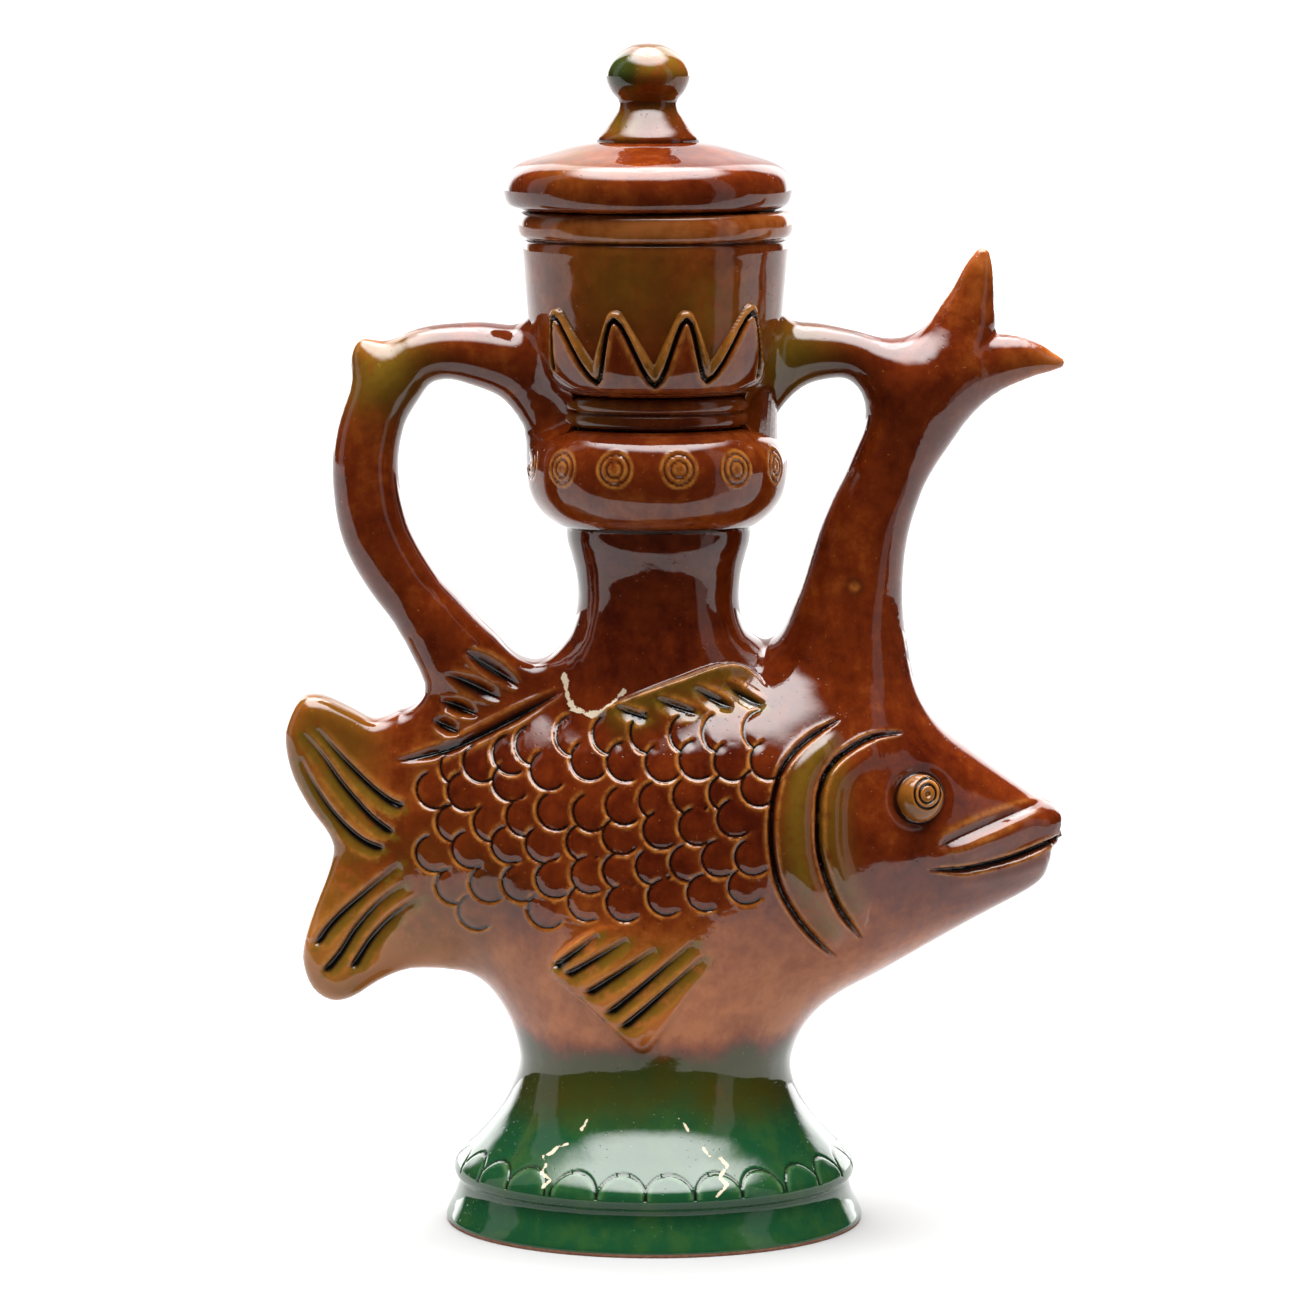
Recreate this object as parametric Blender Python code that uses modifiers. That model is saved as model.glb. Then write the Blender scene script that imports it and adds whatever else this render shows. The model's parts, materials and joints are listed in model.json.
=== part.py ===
import math

import bmesh
import bpy
from mathutils import Matrix

# Lidded fish carafe in glazed earthenware. Metres, +Z up, head towards +X.
# The origin is the centre of the flat base.

# Driving dimensions
HEIGHT = 0.360          # base to the top of the knob
GAP = 0.0003            # joint line between luted members
WALL = 0.0055           # thrown wall
RELIEF = 0.0024         # how far the applied fins and gill covers stand out
CROWN_RELIEF = 0.0016   # how far the zigzag strip stands out of the cup
TURNED_STEPS = 32       # facets round a thrown piece
BODY_RING = 24          # facets round the fish
STRAP_ROUND = 4         # roundness of the handle, bridge and points
SPOUT_ROUND = 5
CHANNEL_ROUND = 3
LINE_STEPS = 2          # points on a pulled member's line, per span
SECTION_POWER = 2.2     # 2 is an ellipse, higher is fuller
STRAP_WIDTH = 1.15      # handle and bridge, width over thickness
PRONG_WIDTH = 0.8       # spout points, width over thickness
MERGE = 0.00001

# The thrown members lean a little, so each has its own axis
FOOT_X = 0.0005
NECK_X = 0.0018
BULB_X = 0.0013
CUP_X = 0.0008
LID_X = -0.0014
LID_SEAT_Z = 0.310

# Bores of the hollow members
NECK_BORE = 0.0185
FOOT_BORE = 0.0300
THROAT_BORE = 0.0190
NECK_HOLE = [(NECK_BORE, 0.190), (NECK_BORE, 0.150)]    # through the fish's back
BELLY_HOLE = [(FOOT_BORE, 0.085), (FOOT_BORE, 0.050)]   # through its belly

# Stations along the fish: x, top, bottom, half width
BODY_STATIONS = [
    (-0.0880, 0.1260, 0.1040, 0.0050),
    (-0.0840, 0.1360, 0.0940, 0.0085),
    (-0.0760, 0.1430, 0.0870, 0.0135),
    (-0.0640, 0.1475, 0.0805, 0.0200),
    (-0.0500, 0.1530, 0.0755, 0.0270),
    (-0.0340, 0.1605, 0.0695, 0.0340),
    (-0.0160, 0.1670, 0.0650, 0.0400),
    (0.0040, 0.1715, 0.0630, 0.0435),
    (0.0240, 0.1735, 0.0640, 0.0440),
    (0.0440, 0.1715, 0.0675, 0.0415),
    (0.0620, 0.1660, 0.0730, 0.0365),
    (0.0780, 0.1585, 0.0815, 0.0300),
    (0.0920, 0.1495, 0.0895, 0.0235),
    (0.1040, 0.1405, 0.0960, 0.0180),
    (0.1130, 0.1340, 0.1008, 0.0142),
    (0.1185, 0.1300, 0.1046, 0.0114),
    (0.1208, 0.1284, 0.1084, 0.0096),
    (0.1222, 0.1272, 0.1146, 0.0078),
    (0.1245, 0.1245, 0.1180, 0.0045),
]
HOLLOW_FROM = -0.066    # the cavity's ends along the fish
HOLLOW_TO = 0.106

# Outer profiles of the thrown members, radius and height, top to bottom
FOOT_OUTER = [
    (0.0402, 0.0950), (0.0405, 0.0750), (0.0407, 0.0630), (0.0410, 0.0550),
    (0.0411, 0.0500), (0.0420, 0.0455), (0.0440, 0.0403), (0.0475, 0.0340), (0.0530, 0.0273),
    (0.0596, 0.0203), (0.0613, 0.0170), (0.0611, 0.0146), (0.0599, 0.0126), (0.0607, 0.0088),
    (0.0626, 0.0047), (0.0639, 0.0016), (0.0634, 0.0000),
]
FOOT_INNER = [
    (0.0500, 0.0070), (0.0525, 0.0110), (0.0500, 0.0190), (0.0430, 0.0290), (0.0370, 0.0385),
    (0.0350, 0.0480), (0.0350, 0.0950),
]
NECK_OUTER = [
    (0.0279, 0.2132), (0.0279, 0.2100), (0.0266, 0.2050), (0.0252, 0.1995), (0.0246, 0.1925),
    (0.0252, 0.1870), (0.0267, 0.1825), (0.0287, 0.1785), (0.0305, 0.1740), (0.0318, 0.1680),
    (0.0331, 0.1610), (0.0347, 0.1540), (0.0362, 0.1465), (0.0370, 0.1390),
]
BULB_OUTER = [
    (0.0295, 0.2443), (0.0335, 0.2432), (0.0374, 0.2398), (0.0394, 0.2345), (0.0395, 0.2285),
    (0.0382, 0.2230), (0.0352, 0.2183), (0.0312, 0.2149), (0.0282, 0.2135),
]
BULB_INNER = [
    (NECK_BORE, 0.2135), (0.0240, 0.2175), (0.0322, 0.2235), (0.0332, 0.2330), (0.0260, 0.2400),
    (THROAT_BORE, 0.2443),
]
COLLAR_OUTER = [(0.0292, 0.2543), (0.0307, 0.2526), (0.0310, 0.2495), (0.0307, 0.2463), (0.0292, 0.2446)]
CUP_OUTER = [
    (0.0385, 0.3097), (0.0406, 0.3092), (0.0417, 0.3072), (0.0417, 0.3034), (0.0409, 0.3019),
    (0.0394, 0.3010), (0.0405, 0.3001), (0.0402, 0.2950), (0.0393, 0.2850), (0.0384, 0.2740),
    (0.0372, 0.2650), (0.0350, 0.2592), (0.0320, 0.2556), (0.0295, 0.2546),
]
CUP_INNER = [
    (THROAT_BORE, 0.2546), (THROAT_BORE, 0.2585), (0.0300, 0.2620), (0.0333, 0.2680), (0.0353, 0.2980),
    (0.0362, 0.3088),
]
LID_OUTER = [
    (0.0155, 0.3302), (0.0215, 0.3293), (0.0310, 0.3261), (0.0400, 0.3228), (0.0430, 0.3206),
    (0.0438, 0.3170), (0.0431, 0.3132), (0.0395, 0.3100),
]
LID_UNDER = [
    (0.0345, 0.3103), (0.0330, 0.3095), (0.0325, 0.3022), (0.0292, 0.3022), (0.0285, 0.3120),
    (0.0180, 0.3195),
]
LID_UNDER_TOP = 0.3210
KNOB_OUTER = [
    (0.0042, 0.3596), (0.0078, 0.3579), (0.0113, 0.3547), (0.0128, 0.3508), (0.0126, 0.3474),
    (0.0108, 0.3440), (0.0094, 0.3410), (0.0101, 0.3385), (0.0124, 0.3357), (0.0153, 0.3328),
    (0.0149, 0.3305),
]

# Pulled members: x, height and radius along the middle line
HANDLE_PATH = [
    (-0.0300, 0.2630, 0.0110), (-0.0450, 0.2648, 0.0100), (-0.0600, 0.2662, 0.0094),
    (-0.0715, 0.2636, 0.0096), (-0.0808, 0.2568, 0.0103), (-0.0857, 0.2470, 0.0102),
    (-0.0872, 0.2355, 0.0102), (-0.0869, 0.2240, 0.0102), (-0.0846, 0.2120, 0.0102),
    (-0.0795, 0.2015, 0.0100), (-0.0727, 0.1920, 0.0100), (-0.0657, 0.1835, 0.0110),
    (-0.0600, 0.1750, 0.0130),
]
HORN_PATH = [(-0.0800, 0.2570, 0.0085), (-0.0858, 0.2655, 0.0052), (-0.0882, 0.2700, 0.0026)]
HANDLE_FOOT_Z = 0.1788   # the handle ends on the rear fin here
BELOW_HANDLE = [(-0.120, 0.140), (0.0, 0.140), (0.0, HANDLE_FOOT_Z), (-0.120, HANDLE_FOOT_Z)]
SPOUT_PATH = [
    (0.0570, 0.1450, 0.0340), (0.0574, 0.1520, 0.0308), (0.0578, 0.1600, 0.0264), (0.0582, 0.1680, 0.0228),
    (0.0585, 0.1760, 0.0203), (0.0590, 0.1830, 0.0180), (0.0604, 0.1910, 0.0159),
    (0.0622, 0.2020, 0.0144), (0.0638, 0.2093, 0.0136), (0.0660, 0.2166, 0.0129), (0.0690, 0.2240, 0.0122),
    (0.0720, 0.2313, 0.0120), (0.0756, 0.2386, 0.0124), (0.0796, 0.2460, 0.0132), (0.0850, 0.2545, 0.0137),
    (0.0920, 0.2625, 0.0120),
]
UPPER_POINT_PATH = [
    (0.0880, 0.2600, 0.0110), (0.0938, 0.2730, 0.0099), (0.0966, 0.2820, 0.0070), (0.0985, 0.2900, 0.0047),
    (0.0999, 0.2958, 0.0025),
]
LOWER_POINT_PATH = [
    (0.0920, 0.2600, 0.0105), (0.1040, 0.2638, 0.0088), (0.1140, 0.2653, 0.0063), (0.1205, 0.2650, 0.0042),
    (0.1250, 0.2643, 0.0021),
]
CHANNEL_PATH = [
    (0.0570, 0.1450, 0.0105), (0.0585, 0.1800, 0.0100), (0.0622, 0.2020, 0.0085), (0.0690, 0.2240, 0.0070),
    (0.0796, 0.2460, 0.0068), (0.0920, 0.2620, 0.0055), (0.1100, 0.2810, 0.0060),
]
BRIDGE_PATH = [
    (0.0320, 0.2662, 0.0098), (0.0440, 0.2670, 0.0085), (0.0520, 0.2668, 0.0079), (0.0600, 0.2653, 0.0081),
    (0.0680, 0.2620, 0.0090), (0.0780, 0.2570, 0.0100),
]

# Flat outlines in the plane of the fish: x and height
TAIL_OUTLINE = [
    (-0.0745, 0.1350), (-0.0745, 0.1545), (-0.0848, 0.1543), (-0.0918, 0.1577), (-0.1010, 0.1618),
    (-0.1075, 0.1608), (-0.1117, 0.1530), (-0.1122, 0.1460), (-0.1098, 0.1368), (-0.1045, 0.1268),
    (-0.0988, 0.1190),
    (-0.0972, 0.1140), (-0.0994, 0.1070), (-0.1035, 0.0965), (-0.1066, 0.0860), (-0.1070, 0.0790),
    (-0.1042, 0.0716), (-0.0985, 0.0678), (-0.0920, 0.0688), (-0.0838, 0.0739), (-0.0740, 0.0785),
    (-0.0600, 0.0850),
]
TAIL_HALF_THICKNESS = 0.0085
TAIL_ROUNDING = 0.0040
TAIL_ROOT = (-0.094, -0.072)    # the fin swells between these, towards the fish
TAIL_SWELL = 0.60               # by this share of its thickness
TAIL_GROOVES = [                # outer end and inner end of each gouge
    ((-0.1018, 0.1535), (-0.0743, 0.1304)), ((-0.1061, 0.1519), (-0.0780, 0.1221)),
    ((-0.1073, 0.1446), (-0.0799, 0.1179)), ((-0.1031, 0.0867), (-0.0768, 0.1130)),
    ((-0.0995, 0.0793), (-0.0750, 0.1070)), ((-0.0912, 0.0805), (-0.0694, 0.1046)),
]
GROOVE_RADIUS = 0.0017
GROOVE_END_RADIUS = 0.0008
REAR_FIN_OUTLINE = [
    (-0.0752, 0.1785), (-0.0708, 0.1650), (-0.0740, 0.1560), (-0.0740, 0.1400), (-0.0500, 0.1400),
    (-0.0200, 0.1600), (-0.0240, 0.1762), (-0.0380, 0.1764), (-0.0445, 0.1785),
]
REAR_FIN_HALF_THICKNESS = 0.0100
FRONT_FIN_OUTLINE = [
    (-0.0185, 0.1580), (-0.0060, 0.1645), (0.0080, 0.1695), (0.0205, 0.1740), (0.0310, 0.1710),
    (0.0375, 0.1650), (0.0345, 0.1605), (0.0240, 0.1585), (0.0110, 0.1570), (-0.0040, 0.1560),
]
PELVIC_FIN_OUTLINE = [
    (-0.0165, 0.0955), (0.0000, 0.0955), (0.0140, 0.0945), (0.0195, 0.0890), (0.0120, 0.0780),
    (-0.0025, 0.0640), (-0.0100, 0.0650), (-0.0200, 0.0735), (-0.0305, 0.0830),
]
GILL_OUTER_ARC = [
    (0.0565, 0.1577), (0.0464, 0.1520), (0.0397, 0.1451), (0.0367, 0.1373), (0.0355, 0.1275),
    (0.0361, 0.1173), (0.0382, 0.1084), (0.0431, 0.0992), (0.0499, 0.0905), (0.0555, 0.0851),
]
GILL_INNER_ARC = [
    (0.0633, 0.0907), (0.0564, 0.1008), (0.0524, 0.1101), (0.0499, 0.1196), (0.0496, 0.1293),
    (0.0502, 0.1369), (0.0530, 0.1435), (0.0585, 0.1484), (0.0668, 0.1522),
]
CROWN_PEAKS = [(-0.0286, 0.2787), (-0.0118, 0.2785), (0.0088, 0.2786), (0.0274, 0.2801)]
CROWN_VALLEYS = [(-0.0181, 0.2596), (-0.0001, 0.2588), (0.0160, 0.2601)]
CROWN_ENDS = [(-0.0296, 0.2632), (0.0308, 0.2600)]
CROWN_FOOT = [(0.0265, 0.2570), (-0.0255, 0.2572)]

EYE_X = 0.0807
EYE_Z = 0.1337
EYE_Y = 0.0268
EYE_RADIUS = 0.0066
EYE_DEPTH = 0.0040
EYE_TURN = math.radians(24.0)   # the cheek narrows towards the nose
EYE_STEPS = 16

MOUTH = [
    (0.0835, 0.1117), (0.0947, 0.1108), (0.1080, 0.1126), (0.1300, 0.1190), (0.1300, 0.1208),
    (0.1080, 0.1136),
]
REACH = 0.060           # how far a cutting prism reaches out along Y

# Colour of each finish: red, green, blue and roughness
FINISHES = {
    "brown_glaze": (0.205, 0.058, 0.017, 0.12),
    "dark_brown_glaze": (0.140, 0.036, 0.012, 0.12),
    "amber_glaze": (0.300, 0.110, 0.022, 0.14),
    "olive_glaze": (0.160, 0.110, 0.022, 0.14),
    "green_glaze": (0.035, 0.110, 0.035, 0.12),
}

for old in list(bpy.data.objects):
    bpy.data.objects.remove(old, do_unlink=True)

parts = bpy.data.collections.new("fish_carafe")
cutters = bpy.data.collections.new("cutters")
bpy.context.scene.collection.children.link(parts)
bpy.context.scene.collection.children.link(cutters)


def axis_empty(name, x, z):
    empty = bpy.data.objects.new(name, None)
    empty.location = (x, 0.0, z)
    parts.objects.link(empty)
    return empty


vessel_axis = axis_empty("vessel_axis", 0.0, 0.0)
lid_axis = axis_empty("lid_axis", LID_X, LID_SEAT_Z)


def glaze(name, finish):
    red, green, blue, roughness = FINISHES[finish]
    material = bpy.data.materials.new(name + "_" + finish)
    material.use_nodes = True
    shader = material.node_tree.nodes["Principled BSDF"]
    shader.inputs["Base Color"].default_value = (red, green, blue, 1.0)
    shader.inputs["Roughness"].default_value = roughness
    shader.inputs["Metallic"].default_value = 0.0
    return material


def as_part(shape, finish, axis=vessel_axis):
    parts.objects.link(shape)
    shape.parent = axis
    shape.matrix_parent_inverse = Matrix.Translation(axis.location).inverted()
    shape.data.materials.append(glaze(shape.name, finish))
    shape.data.shade_smooth()
    return shape


def as_cutter(shape):
    cutters.objects.link(shape)
    shape.hide_render = True
    shape.display_type = "WIRE"
    return shape


def combine(shape, other, operation):
    step = shape.modifiers.new(operation.lower() + "_" + other.name, "BOOLEAN")
    step.object = other
    step.operation = operation
    step.solver = "EXACT"


def cut(shape, *others):
    for other in others:
        combine(shape, other, "DIFFERENCE")


def object_from(name, bm):
    bmesh.ops.recalc_face_normals(bm, faces=bm.faces)
    mesh = bpy.data.meshes.new(name)
    bm.to_mesh(mesh)
    bm.free()
    return bpy.data.objects.new(name, mesh)


# Thrown members: a profile swept round the axis

def turned(name, profile, axis_x, closed):
    mesh = bpy.data.meshes.new(name)
    points = [(radius, 0.0, height) for radius, height in profile]
    edges = [(i, i + 1) for i in range(len(points) - 1)]
    if closed:
        edges.append((len(points) - 1, 0))
    mesh.from_pydata(points, edges, [])
    shape = bpy.data.objects.new(name, mesh)
    shape.location.x = axis_x
    screw = shape.modifiers.new("throw", "SCREW")
    screw.axis = "Z"
    screw.steps = TURNED_STEPS
    screw.render_steps = TURNED_STEPS
    screw.use_merge_vertices = True
    screw.merge_threshold = MERGE
    screw.use_smooth_shade = True
    return shape


def turned_core(name, outer, axis_x, grow):
    grown = [(radius + grow, height) for radius, height in outer]
    top = (0.0, grown[0][1] + grow)
    bottom = (0.0, grown[-1][1] - grow)
    rim = [(grown[0][0], top[1])]
    foot = [(grown[-1][0], bottom[1])]
    return as_cutter(turned(name, [top] + rim + grown + foot + [bottom], axis_x, False))


# The fish: a loft through its stations

def body_loft(name, grow, stations):
    bm = bmesh.new()
    rings = []
    first_x = stations[0][0]
    last_x = stations[-1][0]
    for x, top, bottom, half_width in stations:
        shift = grow if x == last_x else (-grow if x == first_x else 0.0)
        half_height = 0.5 * (top - bottom) + grow
        ring = []
        for step in range(BODY_RING):
            angle = 2.0 * math.pi * (step + 0.5) / BODY_RING
            across = math.copysign(abs(math.cos(angle)) ** (2.0 / SECTION_POWER), math.cos(angle))
            up = math.copysign(abs(math.sin(angle)) ** (2.0 / SECTION_POWER), math.sin(angle))
            place = (x + shift, (half_width + grow) * across, 0.5 * (top + bottom) + half_height * up)
            ring.append(bm.verts.new(place))
        rings.append(ring)
    for near, far in zip(rings, rings[1:]):
        for i in range(BODY_RING):
            j = (i + 1) % BODY_RING
            bm.faces.new((near[i], near[j], far[j], far[i]))
    bm.faces.new(rings[0])
    bm.faces.new(rings[-1])
    return object_from(name, bm)


def hollow_stations():
    return [station for station in BODY_STATIONS if HOLLOW_FROM < station[0] < HOLLOW_TO]


# Pulled members: a tapering tube on a smooth line

def between(p, q, r, s, t):
    square = (2 * p - 5 * q + 4 * r - s) * t * t
    cube = (3 * q - p - 3 * r + s) * t ** 3
    return 0.5 * (2 * q + (r - p) * t + square + cube)


def smooth_line(points):
    last = len(points) - 1
    line = []
    for i in range(last):
        near = [points[min(max(i + k, 0), last)] for k in (-1, 0, 1, 2)]
        for step in range(LINE_STEPS):
            t = step / LINE_STEPS
            line.append(tuple(between(p, q, r, s, t) for p, q, r, s in zip(*near)))
    line.append(points[-1])
    return line


def curve_to_mesh(name, curve):
    holder = bpy.data.objects.new(name + "_curve", curve)
    bpy.context.scene.collection.objects.link(holder)
    bpy.context.view_layer.update()
    graph = bpy.context.evaluated_depsgraph_get()
    mesh = bpy.data.meshes.new_from_object(holder.evaluated_get(graph))
    bpy.data.objects.remove(holder, do_unlink=True)
    bm = bmesh.new()
    bm.from_mesh(mesh)
    bmesh.ops.remove_doubles(bm, verts=bm.verts, dist=MERGE)
    bpy.data.meshes.remove(mesh)
    return bm


def tube(name, path, widen, roundness, grow=0.0):
    line = smooth_line(path)
    curve = bpy.data.curves.new(name, "CURVE")
    curve.dimensions = "3D"
    curve.twist_mode = "MINIMUM"
    curve.bevel_depth = 1.0
    curve.bevel_resolution = roundness
    curve.use_fill_caps = True
    spline = curve.splines.new("POLY")
    spline.points.add(len(line) - 1)
    for point, (x, z, radius) in zip(spline.points, line):
        point.co = (x, 0.0, z, 1.0)
        point.radius = radius + grow
    bm = curve_to_mesh(name, curve)
    bmesh.ops.scale(bm, vec=(1.0, widen, 1.0), verts=bm.verts)
    return object_from(name, bm)


# Flat outlines, stood up in the plane of the fish

def plate(name, outline, half_thickness, rounding=0.0, middle_y=0.0):
    curve = bpy.data.curves.new(name, "CURVE")
    curve.dimensions = "2D"
    curve.fill_mode = "BOTH"
    curve.extrude = half_thickness - rounding
    curve.bevel_depth = rounding
    curve.bevel_resolution = 1
    curve.offset = -rounding
    spline = curve.splines.new("POLY")
    spline.points.add(len(outline) - 1)
    for point, (x, z) in zip(spline.points, outline):
        point.co = (x, z, 0.0, 1.0)
    spline.use_cyclic_u = True
    bm = curve_to_mesh(name, curve)
    stand_up = Matrix.Translation((0.0, middle_y, 0.0)) @ Matrix.Rotation(math.radians(90.0), 4, "X")
    bmesh.ops.transform(bm, matrix=stand_up, verts=bm.verts)
    return object_from(name, bm)


def side_prism(name, outline, side):
    return plate(name, outline, 0.5 * REACH, 0.0, side * 0.5 * REACH)


# Shapes that other pieces are set against

clear_body = as_cutter(body_loft("clear_body", GAP, BODY_STATIONS))
raised_body = as_cutter(body_loft("raised_body", RELIEF, BODY_STATIONS))
clear_foot = turned_core("clear_foot", FOOT_OUTER, FOOT_X, GAP)
raised_belly = turned_core("raised_belly", FOOT_OUTER, FOOT_X, RELIEF)
combine(raised_belly, raised_body, "UNION")
clear_neck = turned_core("clear_neck", NECK_OUTER, NECK_X, GAP)
raised_back = turned_core("raised_back", NECK_OUTER, NECK_X, RELIEF)
combine(raised_back, raised_body, "UNION")
clear_bulb = turned_core("clear_bulb", BULB_OUTER, BULB_X, GAP)
clear_collar = turned_core("clear_collar", COLLAR_OUTER, CUP_X, GAP)
clear_cup = turned_core("clear_cup", CUP_OUTER, CUP_X, GAP)
raised_cup = turned_core("raised_cup", CUP_OUTER, CUP_X, CROWN_RELIEF)
clear_spout = as_cutter(tube("clear_spout", SPOUT_PATH, 1.0, SPOUT_ROUND, GAP))
raised_cheek = as_cutter(tube("raised_cheek", SPOUT_PATH, 1.0, SPOUT_ROUND, RELIEF))
combine(raised_cheek, raised_body, "UNION")
channel = as_cutter(tube("channel", CHANNEL_PATH, 1.0, CHANNEL_ROUND))


# Foot

def foot():
    floor = [(0.0, 0.0)]
    inside = [(0.0, FOOT_INNER[0][1])] + FOOT_INNER
    shape = turned("foot", FOOT_OUTER + floor + inside, FOOT_X, True)
    as_part(shape, "green_glaze")
    cut(shape, clear_body)


# Fish

def fish_body():
    shape = as_part(body_loft("fish_body", 0.0, BODY_STATIONS), "brown_glaze")
    cavity = as_cutter(body_loft("cavity", -WALL, hollow_stations()))
    neck_hole = turned_core("neck_hole", NECK_HOLE, NECK_X, 0.0)
    belly_hole = turned_core("belly_hole", BELLY_HOLE, FOOT_X, 0.0)
    mouth = as_cutter(plate("mouth_slit", MOUTH, REACH))
    cut(shape, cavity, neck_hole, belly_hole, channel, mouth)


def swell_root(shape):
    start, end = TAIL_ROOT
    for vertex in shape.data.vertices:
        share = min(max((vertex.co.x - start) / (end - start), 0.0), 1.0)
        vertex.co.y *= 1.0 + TAIL_SWELL * share


def tail_groove(name, outer, inner, side):
    middle = (0.5 * (outer[0] + inner[0]), 0.5 * (outer[1] + inner[1]), GROOVE_RADIUS)
    path = [outer + (GROOVE_END_RADIUS,), middle, inner + (GROOVE_END_RADIUS,)]
    shape = as_cutter(tube(name, path, 1.0, 1))
    for vertex in shape.data.vertices:
        vertex.co.y += side * TAIL_HALF_THICKNESS
    swell_root(shape)
    return shape


def tail_fin():
    shape = plate("tail_fin", TAIL_OUTLINE, TAIL_HALF_THICKNESS, TAIL_ROUNDING)
    swell_root(shape)
    as_part(shape, "olive_glaze")
    cut(shape, clear_body)
    for number, (outer, inner) in enumerate(TAIL_GROOVES):
        cut(shape, tail_groove(f"groove_right_{number}", outer, inner, -1))
        cut(shape, tail_groove(f"groove_left_{number}", outer, inner, 1))


def rear_dorsal_fin():
    shape = plate("rear_dorsal_fin", REAR_FIN_OUTLINE, REAR_FIN_HALF_THICKNESS)
    as_part(shape, "amber_glaze")
    cut(shape, clear_neck, clear_body)


def applied(name, outline, side, finish, raised, *under):
    shape = as_part(side_prism(name, outline, side), finish)
    combine(shape, raised, "INTERSECT")
    cut(shape, *under)


def front_dorsal_fin(name, side):
    applied(name, FRONT_FIN_OUTLINE, side, "olive_glaze", raised_back, clear_body, clear_neck, clear_spout)


def pelvic_fin(name, side):
    applied(name, PELVIC_FIN_OUTLINE, side, "olive_glaze", raised_belly, clear_body, clear_foot)


def gill_cover(name, side):
    outline = GILL_OUTER_ARC + GILL_INNER_ARC
    applied(name, outline, side, "amber_glaze", raised_cheek, clear_body, clear_spout)


def eye(name, side):
    bm = bmesh.new()
    bmesh.ops.create_uvsphere(bm, u_segments=EYE_STEPS, v_segments=EYE_STEPS // 2, radius=EYE_RADIUS)
    bmesh.ops.scale(bm, vec=(1.0, 1.0, EYE_DEPTH / EYE_RADIUS), verts=bm.verts)
    shape = as_part(object_from(name, bm), "amber_glaze")
    shape.location = (EYE_X, side * EYE_Y, EYE_Z)
    shape.rotation_euler = (math.radians(90.0), 0.0, -side * EYE_TURN)
    cut(shape, clear_body)


# Neck and crown

def neck():
    inside = [(NECK_BORE, NECK_OUTER[-1][1]), (NECK_BORE, NECK_OUTER[0][1])]
    shape = as_part(turned("neck", NECK_OUTER + inside, NECK_X, True), "brown_glaze")
    cut(shape, clear_body)


def rosette_bulb():
    as_part(turned("rosette_bulb", BULB_OUTER + BULB_INNER, BULB_X, True), "dark_brown_glaze")


def collar_ring():
    inside = [(THROAT_BORE, COLLAR_OUTER[-1][1]), (THROAT_BORE, COLLAR_OUTER[0][1])]
    as_part(turned("collar_ring", COLLAR_OUTER + inside, CUP_X, True), "brown_glaze")


def crown_cup():
    as_part(turned("crown_cup", CUP_OUTER + CUP_INNER, CUP_X, True), "brown_glaze")


def crown_band(name, side):
    zigzag = [CROWN_PEAKS[0]]
    for valley, peak in zip(CROWN_VALLEYS, CROWN_PEAKS[1:]):
        zigzag += [valley, peak]
    outline = [CROWN_ENDS[0]] + zigzag + [CROWN_ENDS[1]] + CROWN_FOOT
    applied(name, outline, side, "amber_glaze", raised_cup, clear_cup)


# Handle, spout and bridge

def handle():
    shape = as_part(tube("handle", HANDLE_PATH, STRAP_WIDTH, STRAP_ROUND), "amber_glaze")
    horn = as_cutter(tube("horn", HORN_PATH, STRAP_WIDTH, STRAP_ROUND))
    below = as_cutter(plate("below_handle", BELOW_HANDLE, REACH))
    combine(shape, horn, "UNION")
    cut(shape, clear_cup, clear_collar, clear_bulb, below)


def spout():
    shape = as_part(tube("spout", SPOUT_PATH, 1.0, SPOUT_ROUND), "brown_glaze")
    upper = as_cutter(tube("upper_point", UPPER_POINT_PATH, PRONG_WIDTH, STRAP_ROUND))
    lower = as_cutter(tube("lower_point", LOWER_POINT_PATH, PRONG_WIDTH, STRAP_ROUND))
    combine(shape, upper, "UNION")
    combine(shape, lower, "UNION")
    cut(shape, channel, clear_body, clear_neck)


def bridge():
    shape = as_part(tube("bridge", BRIDGE_PATH, STRAP_WIDTH, STRAP_ROUND), "brown_glaze")
    cut(shape, clear_cup, clear_collar, clear_spout)


# Lid

def lid():
    top = [(0.0, LID_OUTER[0][1])]
    under = [(0.0, LID_UNDER_TOP)]
    cover = turned("lid_cover", top + LID_OUTER + LID_UNDER + under, LID_X, False)
    as_part(cover, "dark_brown_glaze", lid_axis)
    crown = [(0.0, HEIGHT)]
    seat = [(0.0, KNOB_OUTER[-1][1])]
    knob = turned("lid_knob", crown + KNOB_OUTER + seat, LID_X, False)
    as_part(knob, "olive_glaze", lid_axis)


foot()
fish_body()
tail_fin()
rear_dorsal_fin()
for side, hand in ((-1, "right"), (1, "left")):
    front_dorsal_fin("front_dorsal_fin_" + hand, side)
    pelvic_fin("pelvic_fin_" + hand, side)
    gill_cover("gill_cover_" + hand, side)
    eye("eye_" + hand, side)
neck()
rosette_bulb()
collar_ring()
crown_cup()
crown_band("crown_band_front", -1)
crown_band("crown_band_back", 1)
handle()
spout()
bridge()
lid()
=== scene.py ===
import json
import math

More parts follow.
